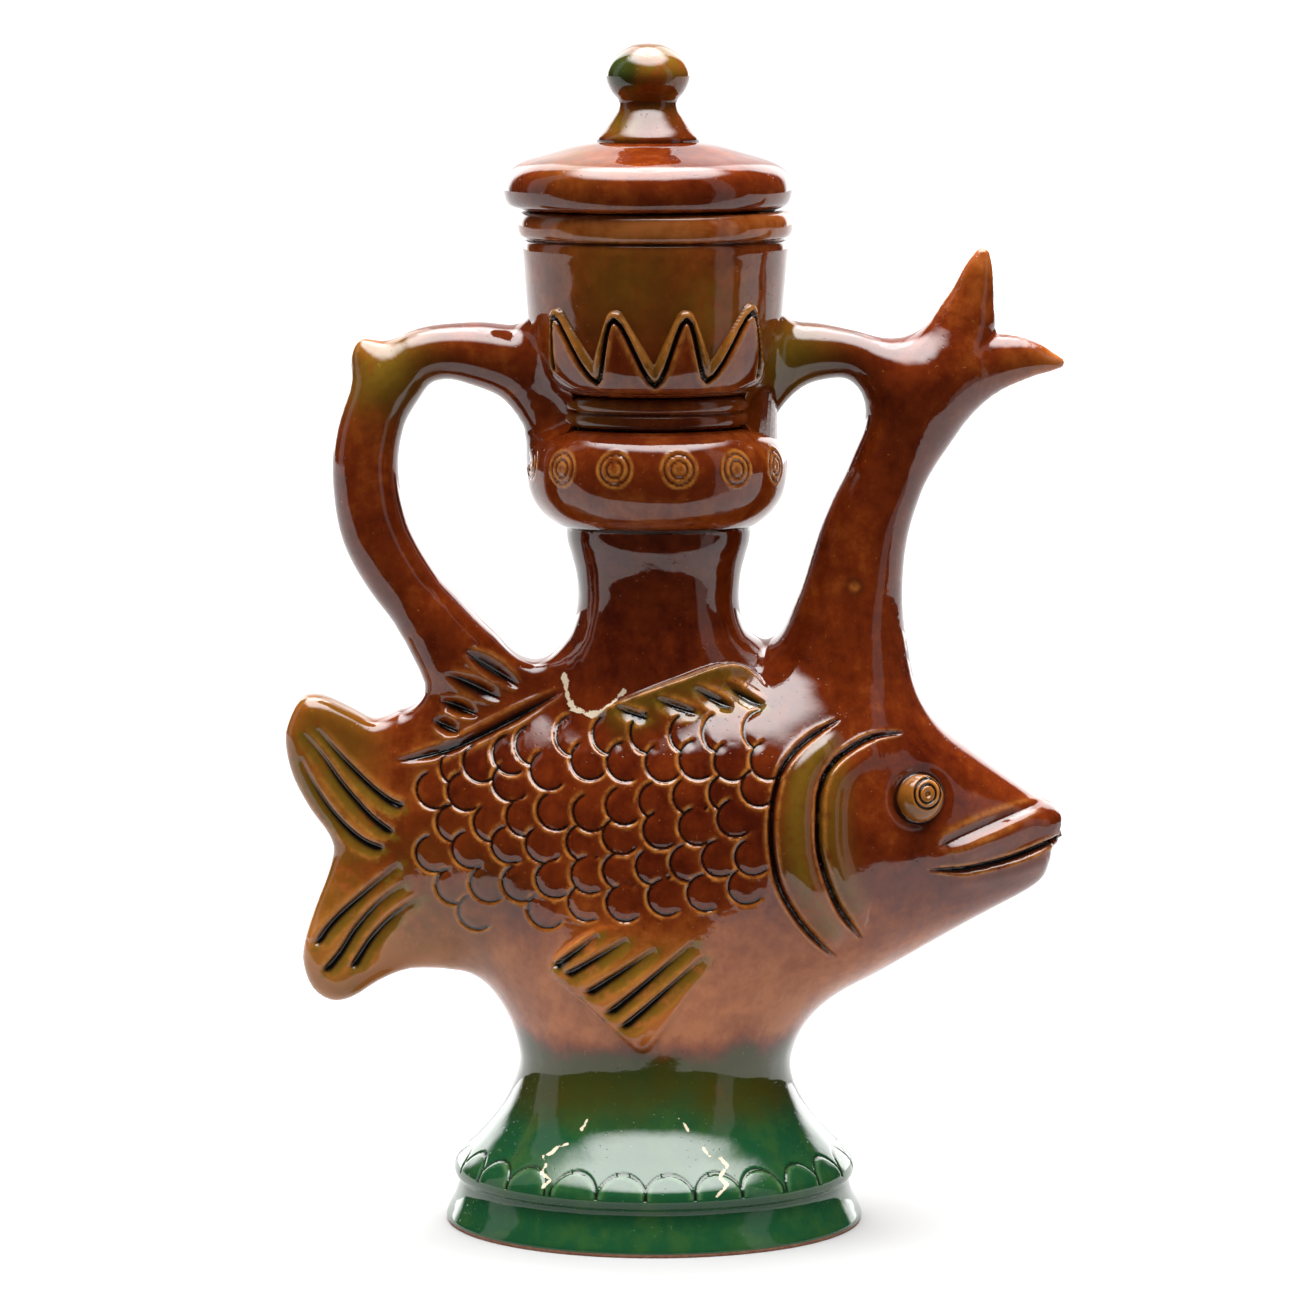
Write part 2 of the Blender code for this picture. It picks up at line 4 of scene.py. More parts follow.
import bpy
import numpy as np
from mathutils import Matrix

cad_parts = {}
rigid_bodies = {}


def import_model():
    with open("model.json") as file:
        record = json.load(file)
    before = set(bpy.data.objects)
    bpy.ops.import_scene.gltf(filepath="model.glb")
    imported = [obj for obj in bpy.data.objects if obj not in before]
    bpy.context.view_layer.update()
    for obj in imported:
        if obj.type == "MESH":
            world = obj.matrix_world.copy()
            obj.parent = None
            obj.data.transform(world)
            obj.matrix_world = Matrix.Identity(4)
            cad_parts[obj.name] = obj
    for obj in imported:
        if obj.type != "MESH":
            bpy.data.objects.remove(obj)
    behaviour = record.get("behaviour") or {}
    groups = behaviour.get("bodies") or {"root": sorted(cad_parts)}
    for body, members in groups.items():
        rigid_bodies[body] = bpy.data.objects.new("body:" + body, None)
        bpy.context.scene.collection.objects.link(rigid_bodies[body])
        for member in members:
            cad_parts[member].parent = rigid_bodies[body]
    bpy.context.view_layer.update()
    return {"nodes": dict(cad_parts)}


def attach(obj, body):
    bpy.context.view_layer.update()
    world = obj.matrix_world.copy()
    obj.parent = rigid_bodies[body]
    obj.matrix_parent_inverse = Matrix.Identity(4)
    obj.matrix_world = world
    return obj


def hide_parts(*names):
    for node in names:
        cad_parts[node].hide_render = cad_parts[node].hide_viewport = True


# Fish carafe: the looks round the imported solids. Metres, head towards +X, base on z = 0.

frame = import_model()
print("frame loaded", len(frame["nodes"]), "nodes")

mm = 0.001
rng = np.random.default_rng(7)


# Small helpers

def only(obj):
    bpy.ops.object.select_all(action="DESELECT")
    obj.select_set(True)
    bpy.context.view_layer.objects.active = obj
    return obj


def editStart(obj, kind="FACE"):
    only(obj)
    bpy.ops.object.mode_set(mode="EDIT")
    bpy.ops.mesh.select_mode(type=kind)


def editEnd():
    bpy.ops.object.mode_set(mode="OBJECT")


def faceOutwards():
    bpy.ops.mesh.select_all(action="SELECT")
    bpy.ops.mesh.normals_make_consistent(inside=False)
    editEnd()


def named(obj, piece):
    obj.name = piece + "_look"
    obj.data.name = obj.name
    return obj


def applyModifier(obj, kind, **settings):
    only(obj)
    step = obj.modifiers.new(kind.lower(), kind)
    for key, value in settings.items():
        setattr(step, key, value)
    bpy.ops.object.modifier_apply(modifier=step.name)


def applyPlace(obj):
    only(obj)
    bpy.ops.object.transform_apply(location=True, rotation=True, scale=True)
    return obj


def joined(objs, name):
    bpy.ops.object.select_all(action="DESELECT")
    for obj in objs:
        obj.select_set(True)
    bpy.context.view_layer.objects.active = objs[0]
    bpy.ops.object.join()
    objs[0].name = name
    objs[0].data.name = name
    return applyPlace(objs[0])


def readOf(items, key, width=1, kind=np.float32):
    values = np.empty(len(items) * width, kind)
    items.foreach_get(key, values)
    return values.reshape(-1, width) if width > 1 else values


def pointsOf(mesh):
    return readOf(mesh.vertices, "co", 3).astype(float)


def normalsOf(mesh):
    return readOf(mesh.vertex_normals, "vector", 3).astype(float)


def edgesOf(mesh):
    return readOf(mesh.edges, "vertices", 2, np.int32)


def cornersOf(mesh):
    return readOf(mesh.polygons, "loop_total", 1, np.int32), readOf(mesh.loops, "vertex_index", 1, np.int32)


def putPoints(mesh, co):
    mesh.vertices.foreach_set("co", np.asarray(co, np.float32).ravel())
    mesh.update()


def moveOut(mesh, reach):
    putPoints(mesh, pointsOf(mesh) + normalsOf(mesh) * (reach * mm)[:, None])


def putLayer(mesh, name, kind, key, values):
    layer = mesh.attributes.new(name, kind, "POINT")
    layer.data.foreach_set(key, np.asarray(values, np.float32).ravel())


def pickFaces(mesh, mask):
    mesh.polygons.foreach_set("select", np.asarray(mask, bool))
    mesh.edges.foreach_set("select", np.zeros(len(mesh.edges), bool))
    mesh.vertices.foreach_set("select", np.zeros(len(mesh.vertices), bool))


def faceMean(mesh, values):
    counts, corners = cornersOf(mesh)
    starts = np.concatenate(([0], np.cumsum(counts)[:-1]))
    return np.add.reduceat(values[corners], starts, axis=0) / counts.reshape((-1,) + (1,) * (values.ndim - 1))


def pointMean(mesh, values):
    counts, corners = cornersOf(mesh)
    total = np.bincount(corners, np.repeat(values, counts), len(mesh.vertices))
    return total / np.maximum(np.bincount(corners, minlength=len(mesh.vertices)), 1)


def unit(value):
    return np.clip(value, 0.0, 1.0)


def ease(low, high, value):
    t = unit((value - low) / (high - low))
    return t * t * (3.0 - 2.0 * t)


def bell(value, middle, wide):
    return np.exp(-((value - middle) / wide) ** 2)


def smoothLine(points, perSpan, closed=False):
    pts = np.array(points, float)
    count = len(pts)
    line = []
    for i in range(count if closed else count - 1):
        span = range(i - 1, i + 3)
        a, b, c, d = (pts[k % count if closed else min(max(k, 0), count - 1)] for k in span)
        for t in np.arange(perSpan) / perSpan:
            line.append(0.5 * (2 * b + (c - a) * t + (2 * a - 5 * b + 4 * c - d) * t * t
                               + (3 * b - a - 3 * c + d) * t ** 3))
    if not closed:
        line.append(pts[-1])
    return np.array(line)


def nearBox(x, z, line, reach, allow=True):
    low = np.min(line, axis=0) - reach
    high = np.max(line, axis=0) + reach
    return (allow & (x > low[0]) & (x < high[0]) & (z > low[1]) & (z < high[1])).nonzero()[0]


def onSpan(x, z, a, b):
    # share of the span at its nearest point, and the gap to it
    dx, dz = b[0] - a[0], b[1] - a[1]
    t = unit(((x - a[0]) * dx + (z - a[1]) * dz) / max(dx * dx + dz * dz, 1e-9))
    return t, np.hypot(x - a[0] - t * dx, z - a[1] - t * dz)


# The clay members, in millimetres

fish = {
    "stations": [   # x, top, bottom, half width
        (-90, 117, 113, 1.5), (-88, 126, 104, 5), (-84, 136, 94, 8.5),
        (-76, 143, 87, 13.5), (-64, 147.5, 80.5, 20), (-50, 153, 75.5, 27),
        (-34, 160.5, 69.5, 34), (-16, 167, 65, 40), (4, 171.5, 63, 43.5),
        (24, 173.5, 64, 44), (44, 171.5, 67.5, 41.5), (62, 166, 73, 36.5),
        (78, 158.5, 81.5, 30), (92, 149.5, 89.5, 23.5), (104, 140.5, 96, 18),
        (113, 134, 100.8, 14.2), (118.5, 130, 104.6, 11.4), (120.8, 128.4, 108.4, 9.6),
        (122.2, 127.2, 114.6, 7.8), (124, 125.2, 117, 5.2), (125, 122.4, 119.6, 1.8),
    ],
    "fullness": 2.05,
}
foot = {
    "axis": 0.5,
    "wall": [   # radius, height
        (1, 130), (12, 119), (22, 109), (30, 99), (35.4, 89), (38.8, 79), (40.4, 69),
        (40.8, 62), (41, 55), (41.1, 50), (42, 45.5), (44, 40.3),
        (47.5, 34), (53, 27.3), (59.6, 20.3), (61.3, 17), (61.1, 14.6), (59.9, 12.6), (60.7, 8.8),
        (62.6, 4.7), (63.85, 1.6), (63.4, 0),
    ],
    "seam": 46, "turns": 410, "band": (15.5, 40),
}
neck = {
    "axis": 1.8,
    "wall": [
        (27.9, 216), (27.9, 210), (26.6, 205), (25.2, 199.5), (24.6, 192.5), (25.2, 187),
        (26.7, 182.5), (28.6, 178.5), (30.2, 174), (31.2, 168), (31.5, 150),
    ],
    "press": 0.16, "pressed": (196, 168), "top": 213.4, "bore": 18.5, "boreDepth": 58, "rimAbove": 200,
}
bulb = {
    "axis": 1.3,
    "outer": [
        (29.5, 244.3), (33.5, 243.2), (37.4, 239.8), (39.4, 234.5), (39.5, 228.5), (38.2, 223),
        (35.2, 218.3), (31.2, 214.9), (28.2, 213.5),
    ],
    "inner": [(18.5, 213.5), (24, 217.5), (32.2, 223.5), (33.2, 233), (26, 240), (19, 244.3)],
    "turns": 640,
}
collar = {
    "axis": 0.8,
    "outer": [
        (29.2, 254.3), (30.6, 253.5), (31.1, 251.9), (30.8, 250.4), (30, 249.6), (30.9, 248.7), (31.2, 247.1),
        (30.8, 245.6), (29.2, 244.6),
    ],
    "bore": 19, "turns": 256,
}
cup = {
    "axis": 0.8,
    "rim": [
        (37.2, 309.5), (38.5, 309.8), (40.6, 309.1), (41.6, 307.2), (41.8, 305), (41.5, 303),
        (40.7, 301.8), (39.3, 301.2),
    ],
    "outer": [
        (39.3, 300.9), (40.1, 300.1), (40.4, 298), (40.1, 295), (39.3, 285), (38.4, 274),
        (37.2, 265), (35, 259.2), (32, 255.6), (29.5, 254.6),
    ],
    "inner": [
        (19, 254.6), (19, 258.5), (30, 262), (33.3, 268), (35.3, 298), (36.2, 308.6),
    ],
    "turns": 320,
}
tail = {
    "outline": [
        (-74.5, 135), (-74.5, 154.5), (-84.8, 154.3), (-91.8, 157.7), (-101, 161.8), (-107.5, 160.8),
        (-111.5, 153), (-112, 146), (-109.8, 136.8), (-104.5, 126.8), (-98.8, 119), (-97.2, 114),
        (-99.4, 107), (-103.5, 96.5), (-106.6, 86), (-107, 79), (-104.2, 71.6), (-98.5, 67.8),
        (-92, 68.8), (-83.8, 73.9), (-74, 78.5), (-60, 85), (-62, 110),
    ],
    "half": 8.5, "edge": 6.5,
}
rearFin = {
    "outline": [
        (-73, 181), (-68, 166), (-71.4, 156), (-74, 140), (-50, 140), (-20, 160),
        (-24, 171.5), (-36, 172.2), (-43.6, 175), (-55, 181.6), (-66, 189),
    ],
    "half": 9.5, "edge": 5,
}
handle = {
    "line": [   # x, height, radius
        (-26, 263, 11.5), (-45, 265.4, 9.4), (-60, 266.9, 8.5), (-71.5, 264.6, 8.5),
        (-80.2, 256.8, 8.9), (-84.9, 246.8, 9.8), (-87.2, 235.5, 10), (-86.9, 224, 10.2),
        (-84.4, 212, 10.4), (-79.2, 201.5, 10.2), (-72.6, 192, 9.8), (-65, 183.6, 9.6),
        (-58.6, 174.5, 10.5),
    ],
    "horn": [(-80, 257, 8.5), (-85.4, 263.8, 6), (-87.2, 267, 3.6)],
    "root": [(-51, 265, 6.4), (-41.5, 259.6, 7), (-33, 250.8, 8.9), (-27, 243, 10.2)],
    "wide": {"line": 1.15, "horn": 1, "root": 1.15},
}
spout = {
    "line": [
        (57, 150, 21), (58.2, 170, 20.4), (58.7, 180, 18.4), (60.4, 191, 15.9),
        (62.2, 202, 14.4), (63.8, 209.3, 13.6), (66, 216.6, 12.9), (69, 224, 12.2),
        (72, 231.3, 12), (75.6, 238.6, 12.4), (79.6, 246, 13.2), (85, 254.5, 13.5), (91, 261.5, 12),
    ],
    "upper": [(88, 260, 11), (93.8, 273, 9.9), (96.6, 282, 7), (98.6, 290.4, 4.7), (99.9, 295.6, 2.5)],
    "lower": [
        (92, 260, 10.5), (104, 263.6, 8.6), (114, 264.6, 5.7), (119.8, 263.8, 3.3), (123.2, 263.4, 1.8),
    ],
    "wide": {"line": 1, "upper": 0.85, "lower": 0.85},
}
bridge = {
    "line": [
        (30, 266.2, 10.2), (44, 268, 7.8), (52, 267.6, 7.1), (60, 266, 7.3), (68, 262.6, 8.2),
        (78, 257, 10),
    ],
    "root": [(50, 265, 5.2), (42, 260.4, 5.2), (35.4, 253.6, 5.4), (29.8, 246.6, 6.8), (27.4, 239, 7.8)],
    "wide": {"line": 1.15, "root": 1.15},
}
luting = {   # how far the clay is smoothed over each joint
    "tail": 13, "finHandle": 10, "foot": 26, "neck": 9, "spout": 17, "fin": 13,
    "points": 6, "bridge": 12, "horn": 6, "root": 8, "cup": 7,
}
sunk = 0.45   # the arms' roots run this far under the thrown cup, collar and bulb
overGrooves = [(34.6, 259), (32, 254.8), (31, 250.4), (31.2, 246.6), (33.6, 243.4)]
waist = [(40.4, 299)] + cup["outer"][3:7] + overGrooves + bulb["outer"][2:8]   # the roots were smoothed to it
far = 60.0   # gap given to points that a member can't reach


# How far a point is from each member's surface

def wallRadius(wall, z):
    line = smoothLine(wall, 6)
    order = np.argsort(line[:, 1])
    return np.interp(z, line[order, 1], line[order, 0])


def fromWall(p, axis, wall, shrink=0.0):
    high = max(h for r, h in wall) - shrink
    low = min(h for r, h in wall) + shrink
    radius = np.hypot(p[:, 0] - axis, p[:, 1])
    z = np.clip(p[:, 2], low, high)
    here = wallRadius(wall, z) - shrink
    slope = (wallRadius(wall, z + 0.3) - wallRadius(wall, z - 0.3)) / 0.6
    side = (radius - here) / np.sqrt(1.0 + slope * slope)
    return np.maximum(side, np.maximum(p[:, 2] - high, low - p[:, 2]))


def fromLine(p, line, wide):
    path = smoothLine(line, 4)
    near = nearBox(p[:, 0], p[:, 2], path[:, :2], path[:, 2].max() + 34.0)
    x, y, z = p[near].T
    best = np.full(len(near), far)
    for a, b in zip(path, path[1:]):
        t, gap = onSpan(x, z, a, b)
        best = np.minimum(best, np.hypot(gap, y / wide) - a[2] - t * (b[2] - a[2]))
    out = np.full(len(p), far)
    out[near] = best
    return out


def fromOutline(x, z, outline):
    best = np.full(len(x), 1e9)
    inside = np.zeros(len(x), bool)
    for a, b in zip(outline, np.roll(outline, -1, axis=0)):
        best = np.minimum(best, onSpan(x, z, a, b)[1])
        rise = b[1] - a[1]
        if abs(rise) > 1e-9:
            inside ^= ((a[1] > z) != (b[1] > z)) & (x < a[0] + (b[0] - a[0]) * (z - a[1]) / rise)
    return np.where(inside, -best, best)


def fromPlate(p, plate):
    outline = smoothLine(plate["outline"], 3, True)
    near = nearBox(p[:, 0], p[:, 2], outline, 32.0)
    flat = fromOutline(p[near, 0], p[near, 2], outline) + plate["edge"]
    across = np.abs(p[near, 1]) - plate["half"] + plate["edge"]
    corner = np.hypot(np.maximum(flat, 0.0), np.maximum(across, 0.0))
    out = np.full(len(p), far)
    out[near] = np.minimum(np.maximum(flat, across), 0.0) + corner - plate["edge"]
    return out


def slopeOf(field, p, here):
    step = 0.05
    return np.stack([(field(p + step * way) - here) / step for way in np.eye(3)], 1)


fishLine = smoothLine(fish["stations"], 8)


def fishShare(p):
    x, y, z = p.T
    top, bottom, half = (np.interp(x, fishLine[:, 0], fishLine[:, k]) for k in (1, 2, 3))
    power = fish["fullness"]
    across = np.abs(y / half) ** power
    up = np.abs((z - 0.5 * (top + bottom)) / (0.5 * (top - bottom))) ** power
    return (across + up) ** (1.0 / power)


def fromFish(p):
    # three steps towards the flank, so that points well off it are measured fairly
    x = p[:, 0]
    first, last = fishLine[0, 0], fishLine[-1, 0]
    spot = p.copy()
    spot[:, 0] = np.clip(x, first + 2.0, last - 1.0)
    inside = (fishShare(spot) < 1.0) & (x > first) & (x < last)
    for _ in range(3):
        share = fishShare(spot)
        slope = slopeOf(fishShare, spot, share)
        steep = np.linalg.norm(slope, axis=1) + 1e-6
        spot = spot - slope * (np.clip((share - 1.0) / steep, -6.0, 25.0) / steep)[:, None]
        spot[:, 0] = np.clip(spot[:, 0], first + 0.5, last - 0.2)
    away = np.linalg.norm(p - spot, axis=1)
    return np.where(inside, -away, away)


def melt(a, b, width):
    t = unit(0.5 + 0.5 * (b - a) / width)
    return b + (a - b) * t - width * t * (1.0 - t)


def squeezed(p):
    # the neck's root was pressed in on both flanks
    out = p.copy()
    out[:, 1] *= 1.0 + neck["press"] * ease(*neck["pressed"], p[:, 2])
    return out


def fillet(a, b, width):
    near = np.minimum(a, b)
    return (melt(a, b, width) - near) * ease(14.0, 7.0, near)


def memberGaps(p):
    def strand(arm, key):
        return fromLine(p, arm[key], arm["wide"][key])

    points = np.minimum(strand(spout, "upper"), strand(spout, "lower"))
    loop = melt(strand(handle, "line"), strand(handle, "horn"), luting["horn"])
    return {
        "fish_body": fromFish(p),
        "tail_fin": fromPlate(p, tail),
        "rear_dorsal_fin": fromPlate(p, rearFin),
        "foot": fromWall(p, foot["axis"], foot["wall"]),
        "neck": fromWall(squeezed(p), neck["axis"], neck["wall"]),
        "spout": melt(strand(spout, "line"), points, luting["points"]),
        "bridge": melt(strand(bridge, "line"), strand(bridge, "root"), luting["root"]),
        "handle": melt(loop, strand(handle, "root"), luting["root"]),
        "throws": fromWall(p, cup["axis"], waist, sunk),
    }


def lutedGap(p):
    gap = memberGaps(p)
    body = melt(melt(gap["fish_body"], gap["tail_fin"], luting["tail"]), gap["foot"], luting["foot"])
    fin = melt(gap["rear_dorsal_fin"], gap["handle"], luting["finHandle"])
    arms = np.minimum(np.minimum(body, gap["spout"]), fin)
    arms = arms + fillet(body, gap["spout"], luting["spout"]) + fillet(body, fin, luting["fin"])
    trunk = np.minimum(arms, gap["neck"]) + fillet(arms, gap["neck"], luting["neck"])
    joints = [trunk, melt(gap["spout"], gap["bridge"], luting["bridge"])]
    joints += [melt(gap[arm], gap["throws"], luting["cup"]) for arm in ("bridge", "handle")]
    return np.minimum.reduce(joints)


longest = 1.6   # most that a point moves at a time


def settle(obj, rounds):
    # every point moves onto the luted form, a short way at a time
    co = pointsOf(obj.data)
    for _ in range(rounds):
        p = co / mm
        gap = lutedGap(p)
        slope = slopeOf(lutedGap, p, gap)
        move = slope * (gap / np.maximum((slope * slope).sum(1), 0.2))[:, None]
        length = np.linalg.norm(move, axis=1)
        move *= np.minimum(1.0, longest / np.maximum(length, 1e-9))[:, None]
        co = co - move * mm
    putPoints(obj.data, co)


# Rough clay: balls and slabs pressed together, then one skin over them

def addBall(place, size):
    bpy.ops.mesh.primitive_ico_sphere_add(subdivisions=3, radius=1.0, location=[v * mm for v in place],
                                          scale=[v * mm for v in size])
    return bpy.context.object


def addBalls(line, wide):
    return [addBall((x, 0.0, z), (r, r * wide, r)) for x, z, r in smoothLine(line, 4)]


def addDiscs(axis, wall):
    line = smoothLine(wall, 2)
    discs = []
    for (ra, za), (rb, zb) in zip(line, line[1:]):
        place = (axis * mm, 0.0, 0.5 * (za + zb) * mm)
        bpy.ops.mesh.primitive_cylinder_add(vertices=64, radius=0.5 * (ra + rb) * mm,
                                            depth=(abs(za - zb) + 1.0) * mm, location=place)
        discs.append(bpy.context.object)
    return discs


def addSlab(plate):
    outline = smoothLine(plate["outline"], 3, True)
    bpy.ops.mesh.primitive_circle_add(vertices=len(outline), fill_type="NGON")
    slab = bpy.context.object
    for vertex, (x, z) in zip(slab.data.vertices, outline):
        vertex.co = (x * mm, -plate["half"] * mm, z * mm)
    editStart(slab)
    bpy.ops.mesh.select_all(action="SELECT")
    bpy.ops.mesh.extrude_region_move(TRANSFORM_OT_translate={"value": (0.0, 2.0 * plate["half"] * mm, 0.0)})
    faceOutwards()
    return slab


def roughClay():
    lumps = []
    for x, top, bottom, half in smoothLine(fish["stations"], 3):
        lumps.append(addBall((x, 0.0, 0.5 * (top + bottom)), (5.0, half, 0.5 * (top - bottom))))
    for shape, wall in ((foot, "wall"), (neck, "wall"), (cup, "outer"), (collar, "outer"), (bulb, "outer")):
        lumps += addDiscs(shape["axis"], shape[wall])
    lumps += addSlab(tail), addSlab(rearFin)
    for arm in (handle, spout, bridge):
        for strand, wide in arm["wide"].items():
            lumps += addBalls(arm[strand], wide)
    return joined(lumps, "clay_skin")


voxel = 2.08
skin = roughClay()
skin.data.remesh_voxel_size = voxel * mm
only(skin)
bpy.ops.object.voxel_remesh()
print("rough clay", len(skin.data.vertices))
for repeat in (6, 3):
    settle(skin, 3)
    applyModifier(skin, "SMOOTH", factor=0.5, iterations=repeat)
settle(skin, 3)
applyModifier(skin, "SUBSURF", levels=1, render_levels=1)
settle(skin, 2)
print("luted skin", len(skin.data.vertices))


# Ornament pressed and cut into the clay, in millimetres, the same on both flanks

scales = {
    "radius": 5.7, "line": 0.6, "deep": 0.62, "faces": 214,
    "rows": [   # first x, z, last x, z, how many
        (-23, 153, 33, 155, 6), (-18.5, 146, 35, 146.5, 6), (-59.5, 125, 32, 139, 10),
        (-66.5, 116, 25, 129, 9), (-60, 106, 31, 119, 10), (-32, 101, 28, 109, 6),
    ],
    "loose": [
        (-43, 146), (-36, 149.6), (-66, 135), (-59, 141), (-51.8, 143.6), (-57, 134.5),
        (-43, 138.7), (-31.5, 142), (-53, 98.4),
    ],
}
gill = {
    "outer": [
        (56.5, 157.7), (46.4, 152), (39.7, 145.1), (36.7, 137.3), (35.5, 127.5), (36.1, 117.3), (38.2, 108.4),
        (43.1, 99.2), (49.9, 90.5), (55.5, 85.1),
    ],
    "inner": [
        (75.8, 152.7), (66.8, 152.2), (58.5, 148.4), (53, 143.5), (50.2, 136.9), (49.6, 129.3), (49.9, 119.6),
        (52.4, 110.1), (56.4, 100.8), (63.3, 90.7),
    ],
    "proud": 2.1, "cheek": 1.5, "line": 1.25, "deep": 2,
}
mouth = {
    "slit": [(83.5, 111.7), (94.7, 111.2), (108, 113.4), (119.9, 117.2), (127, 119.6)],
    "lipTop": [(86.6, 118.6), (97, 122.6), (108, 126.4), (118.6, 129.4)],
    "lip": [(90, 115.8), (104, 120.2), (116, 124.4), (126, 123.4)],
    "chin": [(90, 107.6), (104, 108.8), (120, 113)],
    "slitCut": {"line": 1.3, "deep": 2.4}, "lipCut": {"line": 2.4, "deep": 1.3, "rim": 0.1, "dark": 0.45},
    "lipRoll": (4.2, 2.2), "chinRoll": (3, 1),   # how wide, how proud
}
frontFin = {
    "ridge": [(-17.7, 158.1), (-4, 164.4), (8, 169), (20.2, 172.5), (29, 170.4), (36, 163.8)],
    "slots": [
        [(-10.7, 160.6), (-1.1, 157.9)], [(1.1, 163.4), (13.7, 159.6)], [(12.2, 166.5), (24.5, 161.3)],
        [(21.3, 167.4), (33.9, 161.7)],
    ],
    "outline": [
        (-18.5, 158), (-6, 164.5), (8, 169.5), (20.5, 174), (31, 171), (37.5, 165), (34.5, 160.5),
        (24, 158.5), (11, 157), (-4, 156),
    ],
    "proud": 2.6, "steep": 1.2, "slope": 3.4, "deep": 1.6, "ends": (0.4, 0.3),
}
rearCuts = {
    "slots": [
        [(-57, 176.7), (-40.3, 165.1)], [(-62.2, 169.4), (-45.8, 161.4)], [(-64.3, 161.1), (-52.8, 156.8)],
        [(-66.8, 155.3), (-58.3, 151.3)],
    ],
    "crease": [(-78, 142.6), (-67, 145.2), (-58.3, 148.3), (-42, 156.6), (-27.2, 164.8)],
    "line": 2.4, "deep": 1.8, "rim": 0.7, "creaseCut": {"line": 1.9, "deep": 1.7, "rim": 0.3},
}
pelvic = {
    "outline": [
        (-16.5, 96.5), (0, 96), (14, 95), (19.5, 89), (12, 77), (2.5, 63.5), (-2.6, 58.4),
        (-8.5, 62), (-20, 73), (-30.5, 83),
    ],
    "slots": [
        [(-16.1, 94.3), (-29.2, 83.7)], [(-7.4, 93), (-25.6, 81.5)], [(0.8, 90), (-19.5, 76.3)],
        [(12.5, 92), (-13.5, 70.2)], [(15.5, 87.4), (-9.4, 66)],
    ],
    "proud": 2.4, "steep": 1.1, "slope": 5, "deep": 2, "ends": (0.55, 0.08),
}
tailCuts = {
    "slots": [
        [(-102.4, 152.4), (-95.3, 144.4), (-87.1, 136.2), (-80.4, 131.2), (-75.4, 129.4)],
        [(-106.6, 151), (-100.5, 144), (-93.8, 134.6), (-86.1, 126.2), (-78.8, 121)],
        [(-107.3, 143.6), (-103.4, 135.4), (-96.7, 125.8), (-89, 118.9), (-81.8, 116.2)],
        [(-77, 111.6), (-84.2, 105.6), (-92.9, 97.8), (-99.6, 91), (-103.4, 85.6)],
        [(-75, 105.6), (-82.8, 100.2), (-90, 92), (-95.8, 83.2), (-100.8, 77.4)],
        [(-70.2, 101.8), (-77.5, 97), (-85.2, 89.2), (-92.2, 78.6)],
    ],
    "steep": 1.1, "slope": 4.6, "deep": 1.6, "ends": (0.4, 0.07),
}
crawled = {   # bare clay where the glaze drew back, its cream partly a painted highlight
    "line": [
        (-26.8, 169.4), (-26, 164), (-24.1, 160.2), (-19.4, 158.4), (-15.6, 159.4), (-12, 162.2),
        (-8.6, 166.2),
    ],
    "reach": 0.9,
}
# x, height, reach, share
oliveSpots = [(-82, 262, 14, 0.9), (40, 264, 13, 0.9), (-72, 90, 26, 0.4)]
pits = [(61.1, 196.6, 1.5), (91.6, 235.4, 1.1)]   # x, height, reach of small burst bubbles
eye = {"at": (80.7, 28.2, 133.7), "radius": 7.2, "thick": 6, "turn": 24, "stamp": (82.8, 135.7),
       "rings": (4.5, 2.8), "pupil": 1.3}


def newRelief(co):
    # the layers: raised, cut, pooled glaze with painted shade, thin glaze with painted highlight, olive,
    # green, painted shade inside the scales, bare clay with painted highlight
    layers = ("up", "cut", "pool", "thin", "olive", "green", "dusk", "worn")
    relief = {key: np.zeros(len(co)) for key in layers}
    relief["x"], relief["y"], relief["z"] = co.T
    return relief


def most(relief, near, **values):
    for key, value in values.items():
        relief[key][near] = np.maximum(relief[key][near], value)


def strokeLine(points):
    return smoothLine(points, 5) if len(points) > 2 else np.array(points, float)


def tapered(share, ends):
    return np.sqrt(unit(share / ends[0]) * unit((1.0 - share) / ends[1]))


def alongLine(x, z, line):
    # gap to the line, share of its length there, and the side of it
    gap = np.full(len(x), 1e9)
    share, side = np.zeros(len(x)), np.zeros(len(x))
    steps = np.linalg.norm(np.diff(line, axis=0), axis=1)
    begin = np.concatenate(([0.0], np.cumsum(steps))) / steps.sum()
    for a, b, s0, s1 in zip(line, line[1:], begin, begin[1:]):
        t, here = onSpan(x, z, a, b)
        closer = here < gap
        gap = np.where(closer, here, gap)
        share = np.where(closer, s0 + t * (s1 - s0), share)
        side = np.where(closer, np.sign((b[0] - a[0]) * (z - a[1]) - (b[1] - a[1]) * (x - a[0])), side)
    return gap, share, side


def reached(relief, line, reach, allow):
    near = nearBox(relief["x"], relief["z"], line, reach, allow)
    return near, relief["x"][near], relief["z"][near]


def cutLine(relief, points, tool, allow, ends):
    line = strokeLine(points)
    near, x, z = reached(relief, line, 4.0 * tool["line"], allow)
    gap, share, _ = alongLine(x, z, line)
    taper = tapered(share, ends)
    wide = tool["line"] * (0.3 + 0.7 * taper)
    hollow = unit(1.0 - gap / wide) * taper
    ridge = bell(gap, 1.4 * wide, 0.45 * wide) * taper
    relief["up"][near] += tool.get("rim", 0.25) * ridge
    most(relief, near, cut=tool["deep"] * hollow ** 1.1, pool=tool.get("dark", 1.0) * ease(0.2, 0.7, hollow),
         thin=0.65 * ridge)


